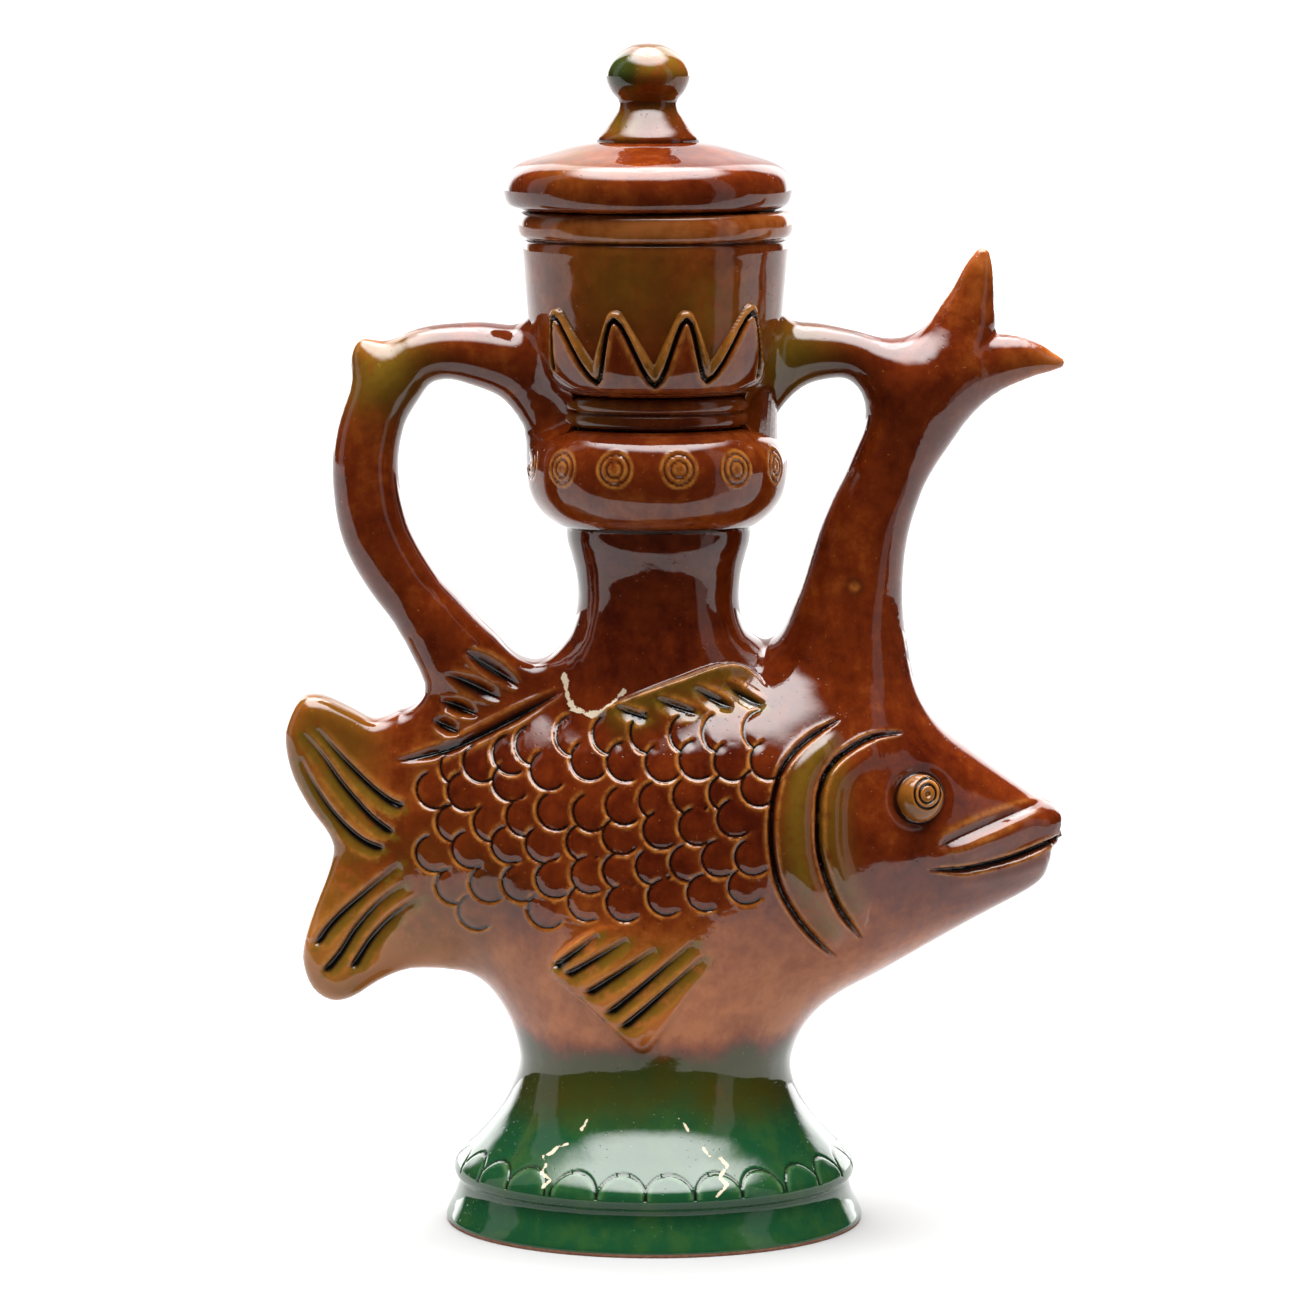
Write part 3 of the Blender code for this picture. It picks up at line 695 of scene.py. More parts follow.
def gouge(relief, points, tool, allow, hand=1.0):
    # one wall steep, with painted shade along it, the other a long slope where the glaze runs olive
    line = strokeLine(points)
    steep, slope = tool["steep"], tool["slope"]
    near, x, z = reached(relief, line, slope + 2.0, allow)
    gap, share, side = alongLine(x, z, line)
    taper = tapered(share, tool["ends"])
    off = gap * side * hand
    reach = slope * (0.45 + 0.55 * taper)
    wall = unit(1.0 + off / steep)
    hollow = np.where(off < 0.0, wall, unit(1.0 - off / reach) ** 1.3) * taper
    offDark = np.where(off > 0.0, off / (0.9 + 1.2 * share), off / 0.8)
    dark = bell(offDark, 0.0, 1.0) * taper * (0.5 + 0.5 * share)
    crest = np.maximum(bell(off, -1.5 * steep, 0.8), 0.7 * bell(off, 0.95 * reach, 0.8)) * taper
    relief["up"][near] += 0.35 * bell(off, -1.6 * steep, 0.9 * steep) * taper
    most(relief, near, cut=tool["deep"] * hollow, pool=ease(0.2, 0.7, dark), thin=crest,
         olive=0.9 * ease(-2.0, 0.5, off) * ease(reach + 1.5, reach - 1.0, off))


def raiseLine(relief, points, width, proud, allow):
    line = smoothLine(points, 5)
    near, x, z = reached(relief, line, 3.0 * width, allow)
    gap, share, _ = alongLine(x, z, line)
    relief["up"][near] += proud * bell(gap, 0.0, width) * (0.3 + 0.7 * tapered(share, (0.15, 0.15)))


def scaleCentres():
    spots = list(scales["loose"])
    for x0, z0, x1, z1, count in scales["rows"]:
        for t in np.linspace(0.0, 1.0, count):
            spots.append((x0 + t * (x1 - x0), z0 + t * (z1 - z0)))
    return np.array(spots) + rng.normal(0.0, 0.45, (len(spots), 2))


scaleSpots = scaleCentres()
scaleTurns = rng.normal(scales["faces"], 9.0, len(scaleSpots))


def pressScales(relief, allow):
    size = scales["radius"]
    for (cx, cz), turn in zip(scaleSpots, scaleTurns):
        near, x, z = reached(relief, [(cx, cz)], 9.0, allow)
        past = np.hypot(x - cx, z - cz) - size
        off = np.abs((np.degrees(np.arctan2(z - cz, x - cx)) - turn + 180.0) % 360.0 - 180.0)
        taper = 1.0 - ease(86.0, 116.0, off)
        # a scale nearer the head lies over this one
        for ox, oz in scaleSpots:
            if cx + 0.8 < ox < cx + 12.0 and abs(oz - cz) < 12.0:
                taper *= ease(-1.0, 0.3, np.hypot(x - ox, z - oz) - size)
        wall = unit(1.0 - past / 0.75)
        hollow = np.where(past > 0.0, wall, unit(1.0 + past / 2.6) ** 1.4)
        line = unit(1.0 - np.abs(past + 0.25) / scales["line"]) * taper
        # the ridge outside the arc takes gold, thin glaze and painted highlight
        ridge = bell(past, 0.7, 0.5) * taper
        relief["up"][near] += 0.06 * ridge
        # painted shade darkens a band inside each scale
        most(relief, near, cut=scales["deep"] * hollow * taper, pool=0.95 * ease(0.05, 0.6, line), thin=ridge,
             dusk=0.5 * ease(0.5, -4.5, past) * ease(-6.0, -2.0, past))


def carveGill(relief, flank):
    # a rounded band between the two cuts and a softer cheek inside the second
    outer, inner = smoothLine(gill["outer"], 5), smoothLine(gill["inner"], 5)
    near, x, z = reached(relief, np.vstack((outer, inner)), 12.0, flank)
    fromOuter, shareOuter, _ = alongLine(x, z, outer)
    fromInner, shareInner, _ = alongLine(x, z, inner)
    band = fromOutline(x, z, np.vstack((outer, inner[::-1]))) < 0.0
    cheek = fromOutline(x, z, inner) < 0.0
    swell = np.sin(np.pi * fromOuter / (fromOuter + fromInner + 1e-6))
    fade = ease(0.0, 0.12, shareOuter) * ease(1.0, 0.88, shareOuter)
    fadeInner = ease(0.0, 0.15, shareInner) * ease(1.0, 0.85, shareInner)
    relief["up"][near] += np.where(band, gill["proud"] * swell * fade, 0.0)
    relief["up"][near] += np.where(cheek, gill["cheek"] * bell(fromInner, 4.0, 3.4) * fadeInner, 0.0)
    cheekOlive = np.where(cheek, 0.5 * ease(14.0, 3.0, fromInner), 0.0)
    relief["olive"][near] = np.where(band, 0.75 * swell ** 2, cheekOlive) * fade
    cutLine(relief, gill["outer"], gill, flank, (0.12, 0.12))
    cutLine(relief, gill["inner"], gill, flank, (0.15, 0.1))


def carveFace(relief, flank):
    # mouth and lips run right round the nose
    head = relief["x"] > 60.0
    behindNose = head & (relief["x"] < 123.5)
    raiseLine(relief, mouth["lip"], *mouth["lipRoll"], behindNose)
    raiseLine(relief, mouth["chin"], *mouth["chinRoll"], behindNose)
    cutLine(relief, mouth["lipTop"], mouth["lipCut"], head, (0.1, 0.5))
    cutLine(relief, mouth["slit"], mouth["slitCut"], head, (0.25, 0.1))
    # the eye sits in an undercut, ringed with painted shade where the glaze also pools
    eyeX, _, eyeZ = eye["at"]
    near, x, z = reached(relief, [(eyeX, eyeZ)], 16.0, flank)
    rim = np.hypot(x - eyeX, z - eyeZ) - eye["radius"]
    most(relief, near, cut=0.8 * bell(rim, 0.6, 1.5), pool=0.9 * bell(rim, 0.2, 0.9))


def carveFins(relief, flank):
    # front fin: a wedge with its sharp edge along the top
    ridge = smoothLine(frontFin["ridge"], 5)
    near, x, z = reached(relief, ridge, 16.0, flank)
    gap, share, side = alongLine(x, z, ridge)
    below = -gap * side
    wedge = np.where(below > 0.0, unit(1.0 - below / 13.0) ** 1.4, ease(-1.8, 0.2, below))
    ends = ease(0.0, 0.12, share) * ease(1.0, 0.72, share)
    relief["up"][near] += frontFin["proud"] * wedge * ends
    most(relief, near, olive=0.8 * wedge * ends, thin=bell(gap, 0.0, 0.6) * ends)
    for slot in frontFin["slots"]:
        gouge(relief, slot, frontFin, flank, -1.0)
    for slot in rearCuts["slots"]:
        cutLine(relief, slot, rearCuts, flank, (0.35, 0.4))
    cutLine(relief, rearCuts["crease"], rearCuts["creaseCut"], flank, (0.2, 0.3))
    # pelvic fin: a thin plate standing out to its lower point, and five gouges
    near, x, z = reached(relief, pelvic["outline"], 8.0, flank & (np.abs(relief["y"]) > 20.0))
    plate = fromOutline(x, z, smoothLine(pelvic["outline"], 4, True))
    slant = ease(6.0, -26.0, 0.75 * x + 0.66 * (z - 90.0))
    relief["up"][near] += pelvic["proud"] * ease(0.8, -1.6, plate) * slant
    most(relief, near, olive=0.25 * ease(1.0, -6.0, plate))
    for slot in pelvic["slots"]:
        gouge(relief, slot, pelvic, flank)
    for slot in tailCuts["slots"]:
        upperLobe = slot[0][1] > 115.0
        gouge(relief, slot, tailCuts, flank & (relief["x"] < -62.0), -1.0 if upperLobe else 1.0)


def carve(mesh):
    relief = newRelief(pointsOf(mesh) / mm)
    x, z, facing = relief["x"], relief["z"], normalsOf(mesh)[:, 1]
    flank = np.abs(facing) > 0.12
    front = facing < -0.1
    pressScales(relief, flank & (x < 40.0))
    carveGill(relief, flank)
    carveFace(relief, flank)
    carveFins(relief, flank)
    # green runs up the foot, and olive sits where the glaze was thick
    relief["green"] = 0.45 * ease(70.0, 50.0, z)
    everywhere = slice(None)
    most(relief, everywhere, olive=0.5 * ease(-78.0, -92.0, x) * (z < 170.0))
    for cx, cz, reach, share in oliveSpots:
        most(relief, everywhere, olive=share * bell(np.hypot(x - cx, z - cz), 0.0, reach))
    # cream along the crawl, bare clay and partly a painted highlight
    near, nearX, nearZ = reached(relief, crawled["line"], 6.0, front)
    gap, _, _ = alongLine(nearX, nearZ, np.array(crawled["line"]))
    most(relief, near, worn=unit(1.2 - 0.6 * gap / crawled["reach"]))
    for cx, cz, reach in pits:
        near, nearX, nearZ = reached(relief, [(cx, cz)], 4.0 * reach, front)
        away = np.hypot(nearX - cx, nearZ - cz) / reach
        inPit = bell(away, 0.0, 1.0)
        most(relief, near, cut=0.5 * inPit, thin=inPit, pool=0.35 * bell(away, 1.5, 0.5))
    fade = np.maximum(ease(0.1, 0.32, np.abs(facing)), ease(96.0, 106.0, x))
    for key in ("up", "cut", "pool", "thin"):
        relief[key] *= fade
    return relief


valley = {"at": (37.5, 171.0), "reach": 7.0, "rounds": 40}   # between the neck and the spout


def soften(obj):
    # a wet finger drawn through the valley
    co = pointsOf(obj.data) / mm
    x, z = valley["at"]
    share = bell(np.hypot(co[:, 0] - x, co[:, 2] - z), 0.0, valley["reach"])
    group = obj.vertex_groups.new(name="valley")
    for index in (share > 0.05).nonzero()[0]:
        group.add([int(index)], float(share[index]), "REPLACE")
    applyModifier(obj, "SMOOTH", factor=0.5, iterations=valley["rounds"], vertex_group=group.name)
    obj.vertex_groups.clear()


relief = carve(skin.data)
carved = (relief["cut"] > 0.02) | (relief["up"] > 0.12)
pickFaces(skin.data, faceMean(skin.data, carved.astype(float)) > 0.2)
editStart(skin)
bpy.ops.mesh.subdivide(number_cuts=1)
editEnd()
settle(skin, 2)
soften(skin)
relief = carve(skin.data)
moveOut(skin.data, relief["up"] - relief["cut"])
print("carved skin", len(skin.data.vertices))


# Glaze thickness goes on the mesh, with painted light in it: pooled glaze and painted shade, thin glaze and
# painted highlight, olive, green, and how dark the brown is, darker inside the scales as painted shade

def hollows(mesh):
    # how far each point lies below those next to it
    co, ends = pointsOf(mesh) / mm, edgesOf(mesh)
    count = len(co)
    one, other = ends.T
    links = np.maximum(np.bincount(ends.ravel(), minlength=count), 1)

    def nearby(values):
        return (np.bincount(one, values[other], count) + np.bincount(other, values[one], count)) / links

    span = np.linalg.norm(co[one] - co[other], axis=1)
    spread = np.bincount(ends.ravel(), np.repeat(span, 2), count) / links
    mean = np.stack([nearby(co[:, k]) for k in range(3)], 1)
    bend = ((mean - co) * normalsOf(mesh)).sum(1) / np.maximum(spread, 0.05) ** 2
    for _ in range(3):
        bend = 0.5 * bend + 0.5 * nearby(bend)
    return bend


def paint(obj, relief, tone):
    mesh = obj.data
    bend = hollows(mesh)
    pool = unit(relief["pool"] + ease(0.12, 0.6, bend))
    thin = unit(relief["thin"] + ease(0.10, 0.45, -bend)) * (1.0 - pool)
    layers = np.stack((pool, thin, relief["olive"], relief["green"]), 1)
    putLayer(mesh, "glazeMap", "FLOAT_COLOR", "color", layers)
    putLayer(mesh, "glazeTone", "FLOAT", "value", np.broadcast_to(tone, len(mesh.vertices)))
    putLayer(mesh, "glazeWorn", "FLOAT", "value", relief["worn"])


memberTones = {
    "fish_body": 0.54, "tail_fin": 0.28, "rear_dorsal_fin": 0.42, "foot": 0.5, "neck": 0.58, "spout": 0.5,
    "bridge": 0.5, "handle": 0.48, "throws": 0.5,
}
# x, height, reach, share
thinTips = [(101.0, 297.0, 17.0, 0.38), (124.0, 262.0, 15.0, 0.4), (-88.0, 268.0, 6.0, 0.3)]


def skinTones(co, dusk):
    gaps = memberGaps(co)
    pull = np.stack([np.exp(-np.clip(gap, -4.0, 40.0) / 4.0) for gap in gaps.values()], 1)
    tones = (pull * np.array([memberTones[name] for name in gaps])).sum(1) / pull.sum(1)
    x, y, z = co.T
    tones -= 0.42 * ease(112.0, 80.0, z) * ease(56.0, 64.0, z)   # lighter under the belly, most between heights 64 and 80
    # painted shade inside the scales darkens the brown
    tones += 0.16 * dusk
    for cx, cz, reach, lift in thinTips:
        tones -= lift * bell(np.hypot(x - cx, z - cz), 0.0, reach)
    return tones


paint(skin, relief, skinTones(pointsOf(skin.data) / mm, relief["dusk"]))
putLayer(skin.data, "skinNormal", "FLOAT_VECTOR", "vector", normalsOf(skin.data))


# Part the skin into the pieces of the frame

def faceMembers(mesh):
    middle = faceMean(mesh, pointsOf(mesh)) / mm
    x, y, z = middle.T
    gaps = memberGaps(middle)
    names = list(gaps)
    index = {name: place for place, name in enumerate(names)}
    member = np.argmin(np.stack(list(gaps.values()), 1), axis=1)
    arm = np.where(x < 0.0, index["handle"], index["bridge"])
    member = np.where(member == index["throws"], arm, member)
    onBody = (member == index["fish_body"]) & (np.abs(y) > 8.0)
    onBelly = onBody | ((member == index["foot"]) & (z > 57.0) & (np.abs(y) > 25.0))
    applied = [("gill_cover", gill["outer"] + gill["inner"][::-1], onBody),
               ("front_dorsal_fin", frontFin["outline"], onBody | (member == index["neck"])),
               ("pelvic_fin", pelvic["outline"], onBelly)]
    for name, outline, allow in applied:
        inside = allow & (fromOutline(x, z, smoothLine(outline, 4, name != "gill_cover")) < 0.0)
        for tag, half in (("right", y < 0.0), ("left", y >= 0.0)):
            member = np.where(inside & half, len(names), member)
            names.append(name + "_" + tag)
    inThrow = np.minimum(gaps["handle"], gaps["bridge"]) - gaps["throws"] > luting["cup"] * 0.9
    underNeck = (member == index["neck"]) & (z > neck["top"] + 1.5)
    gone = (inThrow & (gaps["throws"] < 1.0)) | underNeck | (z < foot["seam"] - 2.5)
    return np.where(gone, -1, member), names


appliedClay = {"sink": 1.3, "thick": 0.9}   # gill covers and fins lie over the fish's own clay
fewer = {"hidden": 0.06, "fish": 0.68}   # share of the fish's faces that stays, under them and in the open


def isApplied(name):
    return name.endswith(("_right", "_left"))


def tagged(mesh):
    return readOf(mesh.attributes["member"].data, "value", 1, np.int32)


def pickOpenEdges(obj):
    editStart(obj, "EDGE")
    bpy.ops.mesh.select_all(action="DESELECT")
    bpy.ops.mesh.select_non_manifold()


def thinFish(obj, hidden):
    pickFaces(obj.data, faceMean(obj.data, hidden.astype(float)) > 0.99)
    editStart(obj)
    bpy.ops.mesh.decimate(ratio=fewer["hidden"])
    editEnd()
    pickOpenEdges(obj)   # the edges at the joints stay as they are
    bpy.ops.mesh.select_more()
    bpy.ops.mesh.select_all(action="INVERT")
    bpy.ops.mesh.decimate(ratio=fewer["fish"])
    editEnd()


def partSkin(skin):
    mesh = skin.data
    member, names = faceMembers(mesh)
    tag = mesh.attributes.new("member", "INT", "FACE")
    tag.data.foreach_set("value", member.astype(np.int32))
    pickFaces(mesh, member == -1)
    editStart(skin)
    bpy.ops.mesh.delete(type="FACE")
    editEnd()
    found = {}
    for place, name in enumerate(names):
        if name in ("throws", "fish_body"):
            continue
        pickFaces(mesh, tagged(mesh) == place)
        editStart(skin)
        if isApplied(name):
            bpy.ops.mesh.duplicate()   # the fish keeps its own clay under it
        bpy.ops.mesh.separate(type="SELECTED")
        editEnd()
        piece = [obj for obj in bpy.context.selected_objects if obj != skin][0]
        found[name] = named(piece, name)
    found["fish_body"] = named(skin, "fish_body")
    covered = [place for place, name in enumerate(names) if isApplied(name)]
    hidden = pointMean(mesh, np.isin(tagged(mesh), covered).astype(float)) > 0.99
    moveOut(mesh, -appliedClay["sink"] * hidden)
    thinFish(skin, hidden)
    for name in found:
        if isApplied(name):
            applyModifier(found[name], "SOLIDIFY", thickness=appliedClay["thick"] * mm, offset=-1.0)
    return found


pieces = partSkin(skin)
print("pieces of skin", {name: len(obj.data.polygons) for name, obj in pieces.items()})


def pickRim(obj, lowest=-1.0):
    pickOpenEdges(obj)
    editEnd()
    mesh = obj.data
    high = pointsOf(mesh)[:, 2] > lowest * mm
    rim = readOf(mesh.edges, "select", 1, bool) & high[edgesOf(mesh)].all(1)
    pickFaces(mesh, np.zeros(len(mesh.polygons), bool))
    picked = np.zeros(len(mesh.vertices), bool)
    picked[edgesOf(mesh)[rim].ravel()] = True
    mesh.vertices.foreach_set("select", picked)
    mesh.edges.foreach_set("select", rim)
    editStart(obj, "EDGE")


def boreNeck(obj):
    pickRim(obj, neck["rimAbove"])
    shrink = neck["bore"] / neck["wall"][0][0]
    bpy.ops.mesh.extrude_region_move()
    bpy.ops.transform.resize(value=(shrink, shrink, 1.0),
                             center_override=(neck["axis"] * mm, 0.0, neck["top"] * mm))
    bpy.ops.mesh.extrude_region_move(TRANSFORM_OT_translate={"value": (0.0, 0.0, -neck["boreDepth"] * mm)})
    bpy.ops.mesh.edge_face_add()
    editEnd()


turnIn = 1.6   # how far the open edges go under the skin


def closeHoles(obj):
    # the open edges turn in under the skin and are closed there
    pickRim(obj)
    bpy.ops.mesh.extrude_region_move()
    editEnd()
    mesh = obj.data
    turned = readOf(mesh.vertices, "select", 1, bool)
    facing = readOf(mesh.attributes["skinNormal"].data, "vector", 3)
    putPoints(mesh, pointsOf(mesh) - facing * (turned * turnIn * mm)[:, None])
    editStart(obj, "EDGE")
    bpy.ops.mesh.fill_holes(sides=0)
    editEnd()


def keepNormals(obj):
    # the parted pieces are shaded as the one skin they came from
    mesh = obj.data
    mesh.polygons.foreach_set("use_smooth", np.ones(len(mesh.polygons), bool))
    counts, corners = cornersOf(mesh)
    kept = readOf(mesh.attributes["skinNormal"].data, "vector", 3)
    soft = (kept / np.maximum(np.linalg.norm(kept, axis=1), 0.001)[:, None])[corners]
    flat = np.repeat(readOf(mesh.polygon_normals, "vector", 3), counts, axis=0)
    use = (flat * soft).sum(1) > 0.35
    mesh.normals_split_custom_set(np.where(use[:, None], soft, flat).tolist())


# Thrown pieces, spun from their profiles

def spun(name, profile, axis, turns):
    bpy.ops.mesh.primitive_circle_add(vertices=len(profile), fill_type="NOTHING")
    obj = named(bpy.context.object, name)
    for vertex, (r, z) in zip(obj.data.vertices, profile):
        vertex.co = ((axis + r) * mm, 0.0, z * mm)
    editStart(obj, "EDGE")
    bpy.ops.mesh.select_all(action="SELECT")
    bpy.ops.mesh.spin(steps=turns, angle=2.0 * math.pi, center=(axis * mm, 0.0, 0.0), axis=(0.0, 0.0, 1.0))
    bpy.ops.mesh.select_all(action="SELECT")
    bpy.ops.mesh.remove_doubles(threshold=0.00001)
    faceOutwards()
    return obj


def rows(points, perSpan):
    return [tuple(point) for point in smoothLine(points, perSpan)]


def around(co, axis):
    return np.arctan2(co[:, 0] - axis, -co[:, 1]), np.hypot(co[:, 0] - axis, co[:, 1])


def roundTo(angle, turn):
    return (angle - turn + math.pi) % (2.0 * math.pi) - math.pi


def finishThrown(obj, relief, tone, sharp=50.0):
    moveOut(obj.data, relief["up"] - relief["cut"])
    paint(obj, relief, tone)
    only(obj)
    bpy.ops.object.shade_smooth_by_angle(angle=math.radians(sharp))
    return obj


rosettes = {
    "high": 233.6, "count": 13, "turn": -18.7, "at": 39.4, "rings": (4.5, 2.5), "crests": (3.5, 5.5, 1.5),
    "line": 0.5, "deep": 0.4,
}
scallops = {
    "count": 25, "half": 7.2, "tall": 8.5, "line": 0.5, "deep": 0.4, "start": (61.3, 17), "at": 58,
    "cracks": [   # x and height of the bare marks on the flare
        [(-25.4, 30.6), (-28.6, 29.6), (-30.4, 27.8), (-33, 26.8), (-32, 24.6), (-33.6, 22.8), (-30.8, 21.2),
         (-33.2, 18.8)],
        [(15.2, 30.2), (17, 28.4), (20.4, 27.6), (22.6, 25.4), (19.8, 22.6), (22.4, 20.6), (19.2, 17.8)],
        [(-19.6, 37.8), (-20.4, 36.2), (-21.4, 35)], [(8, 38.6), (9.4, 37.2), (10.6, 35.4)],
    ],
}
lid = {
    "axis": -1.4,
    "outer": [
        (15.5, 330.2), (21.5, 329.2), (30, 326.8), (36.6, 324.8), (40.2, 323), (42.6, 320.4), (43.7, 317),
        (43.5, 313.8), (42.2, 311.3), (39.5, 310.1),
    ],
    "under": [
        (34.5, 310.3), (33, 309.5), (32.5, 302.2), (29.2, 302.2), (28.5, 312), (18, 319.5), (0, 321),
    ],
    "turns": 256,
}
knob = {
    "axis": -1.4,
    "outer": [
        (0, 360), (4.4, 359.4), (8.2, 357.3), (11, 354.8), (12.6, 351.4), (12.4, 348.4), (11, 345.4),
        (9.5, 343.6), (8.9, 342.4), (9.2, 340.4), (11, 337.7), (13.1, 334.9), (14.9, 332.7), (15.6, 331.5),
        (15.6, 330.3),
    ],
    "turns": 192,
}


def makeBulb():
    profile = rows(bulb["outer"], 8) + rows(bulb["inner"], 4)
    obj = spun("rosette_bulb", profile, bulb["axis"], bulb["turns"])
    co = pointsOf(obj.data) / mm
    angle, radius = around(co, bulb["axis"])
    relief = newRelief(co)
    outside = (radius > 30.0) & (normalsOf(obj.data)[:, 2] < 0.95)
    for k in range(rosettes["count"]):
        turn = math.radians(rosettes["turn"]) + 2.0 * math.pi * k / rosettes["count"] + rng.normal(0.0, 0.015)
        high = rosettes["high"] + rng.normal(0.0, 0.35)
        u = roundTo(angle, turn) * rosettes["at"]
        near = (outside & (np.abs(u) < 8.5) & (np.abs(co[:, 2] - high) < 8.5)).nonzero()[0]
        away = np.hypot(u[near], co[near, 2] - high)
        for ring in rosettes["rings"]:
            hollow = unit(1.0 - np.abs(away - ring) / rosettes["line"])
            most(relief, near, cut=rosettes["deep"] * hollow, pool=0.6 * ease(0.1, 0.7, hollow))
        crest = sum(bell(away, place, 0.42) for place in rosettes["crests"])
        relief["up"][near] += 0.15 * crest
        most(relief, near, thin=unit(crest + 0.45 * ease(6.2, 5.4, away)))
    # painted shade under the bulb where it meets the neck, with the glaze also pooled in the joint
    most(relief, slice(None), pool=ease(216.5, 214.2, co[:, 2]))
    return finishThrown(obj, relief, np.interp(co[:, 2], (216.0, 228.0, 240.0), (0.36, 0.46, 0.42)))


def makeFootBase():
    side = [point for point in rows(foot["wall"], 8) if point[1] < foot["seam"]]
    top = (float(wallRadius(foot["wall"], foot["seam"])), foot["seam"])
    obj = spun("foot", [top] + side + [(0.0, 0.0), (0.0, foot["seam"])], foot["axis"], foot["turns"])
    high = faceMean(obj.data, pointsOf(obj.data))[:, 2] / mm
    pickFaces(obj.data, (high > foot["band"][0]) & (high < foot["band"][1]))
    editStart(obj)
    bpy.ops.mesh.subdivide(number_cuts=1, smoothness=0.0)
    editEnd()
    co = pointsOf(obj.data) / mm
    angle, radius = around(co, foot["axis"])
    relief = newRelief(co)
    relief["green"][:] = 0.45 + 0.55 * ease(46.0, 18.0, co[:, 2])
    front = (co[:, 1] < -20.0).nonzero()[0]
    for points in scallops["cracks"]:
        gap, _, _ = alongLine(co[front, 0], co[front, 2], np.array(points))
        most(relief, front, worn=unit(1.3 - 1.1 * gap / 0.8))
    band = (co[:, 2] > 15.0) & (co[:, 2] < 30.0) & (radius > 45.0)
    edge, start = scallops["start"]
    half = scallops["half"]
    for k in range(scallops["count"]):
        turn = 2.0 * math.pi * (k + 0.3) / scallops["count"] + rng.normal(0.0, 0.012)
        u = roundTo(angle, turn) * scallops["at"]
        near = (band & (np.abs(u) < 9.0)).nonzero()[0]
        slant = np.hypot(co[near, 2] - start, edge - radius[near]) * np.sign(co[near, 2] - start)
        reach = np.hypot(u[near] / half, slant / scallops["tall"])
        across = np.abs(reach - 1.0) * half
        hollow = unit(1.0 - across / scallops["line"]) * (slant > -0.5)
        pale = bell(across, 1.1, 0.6) * (reach < 1.0) * (slant > 0.0)
        most(relief, near, cut=scallops["deep"] * hollow, pool=0.8 * ease(0.1, 0.6, hollow), thin=0.6 * pale)
    return finishThrown(obj, relief, 0.6)


runFade = {"olive": (12.0, -8.0), "green": (10.0, -6.0)}   # the runs are on the front


def makeThrown(name, profile, shape, tone, olive, green=()):
    obj = spun(name, profile, shape["axis"], shape["turns"])
    co = pointsOf(obj.data) / mm
    relief = newRelief(co)
    for key, spots in (("olive", olive), ("green", green)):
        for cx, cz, reach, share in spots:
            spot = bell(np.hypot(co[:, 0] - cx, co[:, 2] - cz), 0.0, reach) * ease(*runFade[key], co[:, 1])
            most(relief, slice(None), **{key: share * spot})
    high, depth = zip(*tone)
    return finishThrown(obj, relief, np.interp(co[:, 2], high, depth))


crown = {
    "peaks": [(-28.6, 278.7), (-11.8, 278.5), (8.8, 278.6), (27.4, 280.1)],
    "valleys": [(-18.1, 259.6), (-0.1, 258.8), (16, 260.1)],
    "ends": [(-30.2, 263.2), (31.2, 261)], "base": [(26.5, 258.6), (-25.5, 258.8)],
    "proud": 1.9, "bead": 2.8, "line": 1.05, "deep": 1.7, "radius": 38,
    "sheet": (84, 31, 268),   # width, height and middle of the strip it is cut from
}


def makeCrownBand(name, back):
    zigzag = [crown["peaks"][0]]
    for valley, peak in zip(crown["valleys"], crown["peaks"][1:]):
        zigzag += [valley, peak]
    outline = [crown["ends"][0]] + zigzag + [crown["ends"][1]] + crown["base"]
    flat = np.array([(crown["radius"] * math.asin(x / crown["radius"]), z) for x, z in outline])
    groove = smoothLine(flat[:len(zigzag) + 2], 6)
    facing = math.pi if back else 0.0
    bpy.ops.mesh.primitive_grid_add(x_subdivisions=230, y_subdivisions=90, size=1.0)
    obj = named(bpy.context.object, name)
    co = pointsOf(obj.data)
    wide, tall, middle = crown["sheet"]
    u = co[:, 0] * wide
    z = middle + co[:, 1] * tall
    inside = fromOutline(u, z, flat) - crown["bead"]
    line, _, _ = alongLine(u, z, groove)
    roll = np.sqrt(unit(1.0 - (1.0 - unit(-inside / 2.0)) ** 2))
    hollow = unit(1.0 - line / crown["line"])
    lift = crown["proud"] * roll - crown["deep"] * hollow - 0.5 * ease(0.0, 0.5, inside)
    radius = wallRadius(cup["outer"], z) + lift
    turn = u / crown["radius"] + facing
    putPoints(obj.data, np.stack((cup["axis"] + radius * np.sin(turn), -radius * np.cos(turn), z), 1) * mm)
    pickFaces(obj.data, faceMean(obj.data, inside) > 0.7)
    editStart(obj)
    bpy.ops.mesh.delete(type="FACE")
    faceOutwards()
    co = pointsOf(obj.data) / mm
    outward = np.stack((co[:, 0] - cup["axis"], co[:, 1], np.zeros(len(co))), 1)
    if (normalsOf(obj.data) * outward).sum() < 0.0:
        editStart(obj)
        bpy.ops.mesh.select_all(action="SELECT")
        bpy.ops.mesh.flip_normals()
        editEnd()
    applyModifier(obj, "SOLIDIFY", thickness=appliedClay["thick"] * mm, offset=-1.0)
    co = pointsOf(obj.data) / mm
    angle, _ = around(co, cup["axis"])
    line, _, side = alongLine(roundTo(angle, facing) * crown["radius"], co[:, 2], groove)
    relief = newRelief(co)
    relief["pool"] = ease(0.1, 0.6, 1.0 - line / crown["line"])
    relief["thin"] = 0.7 * bell(line, 1.7, 0.6)
    relief["olive"] = 0.5 * (side > 0.0)
    return finishThrown(obj, relief, 0.38, 60.0)


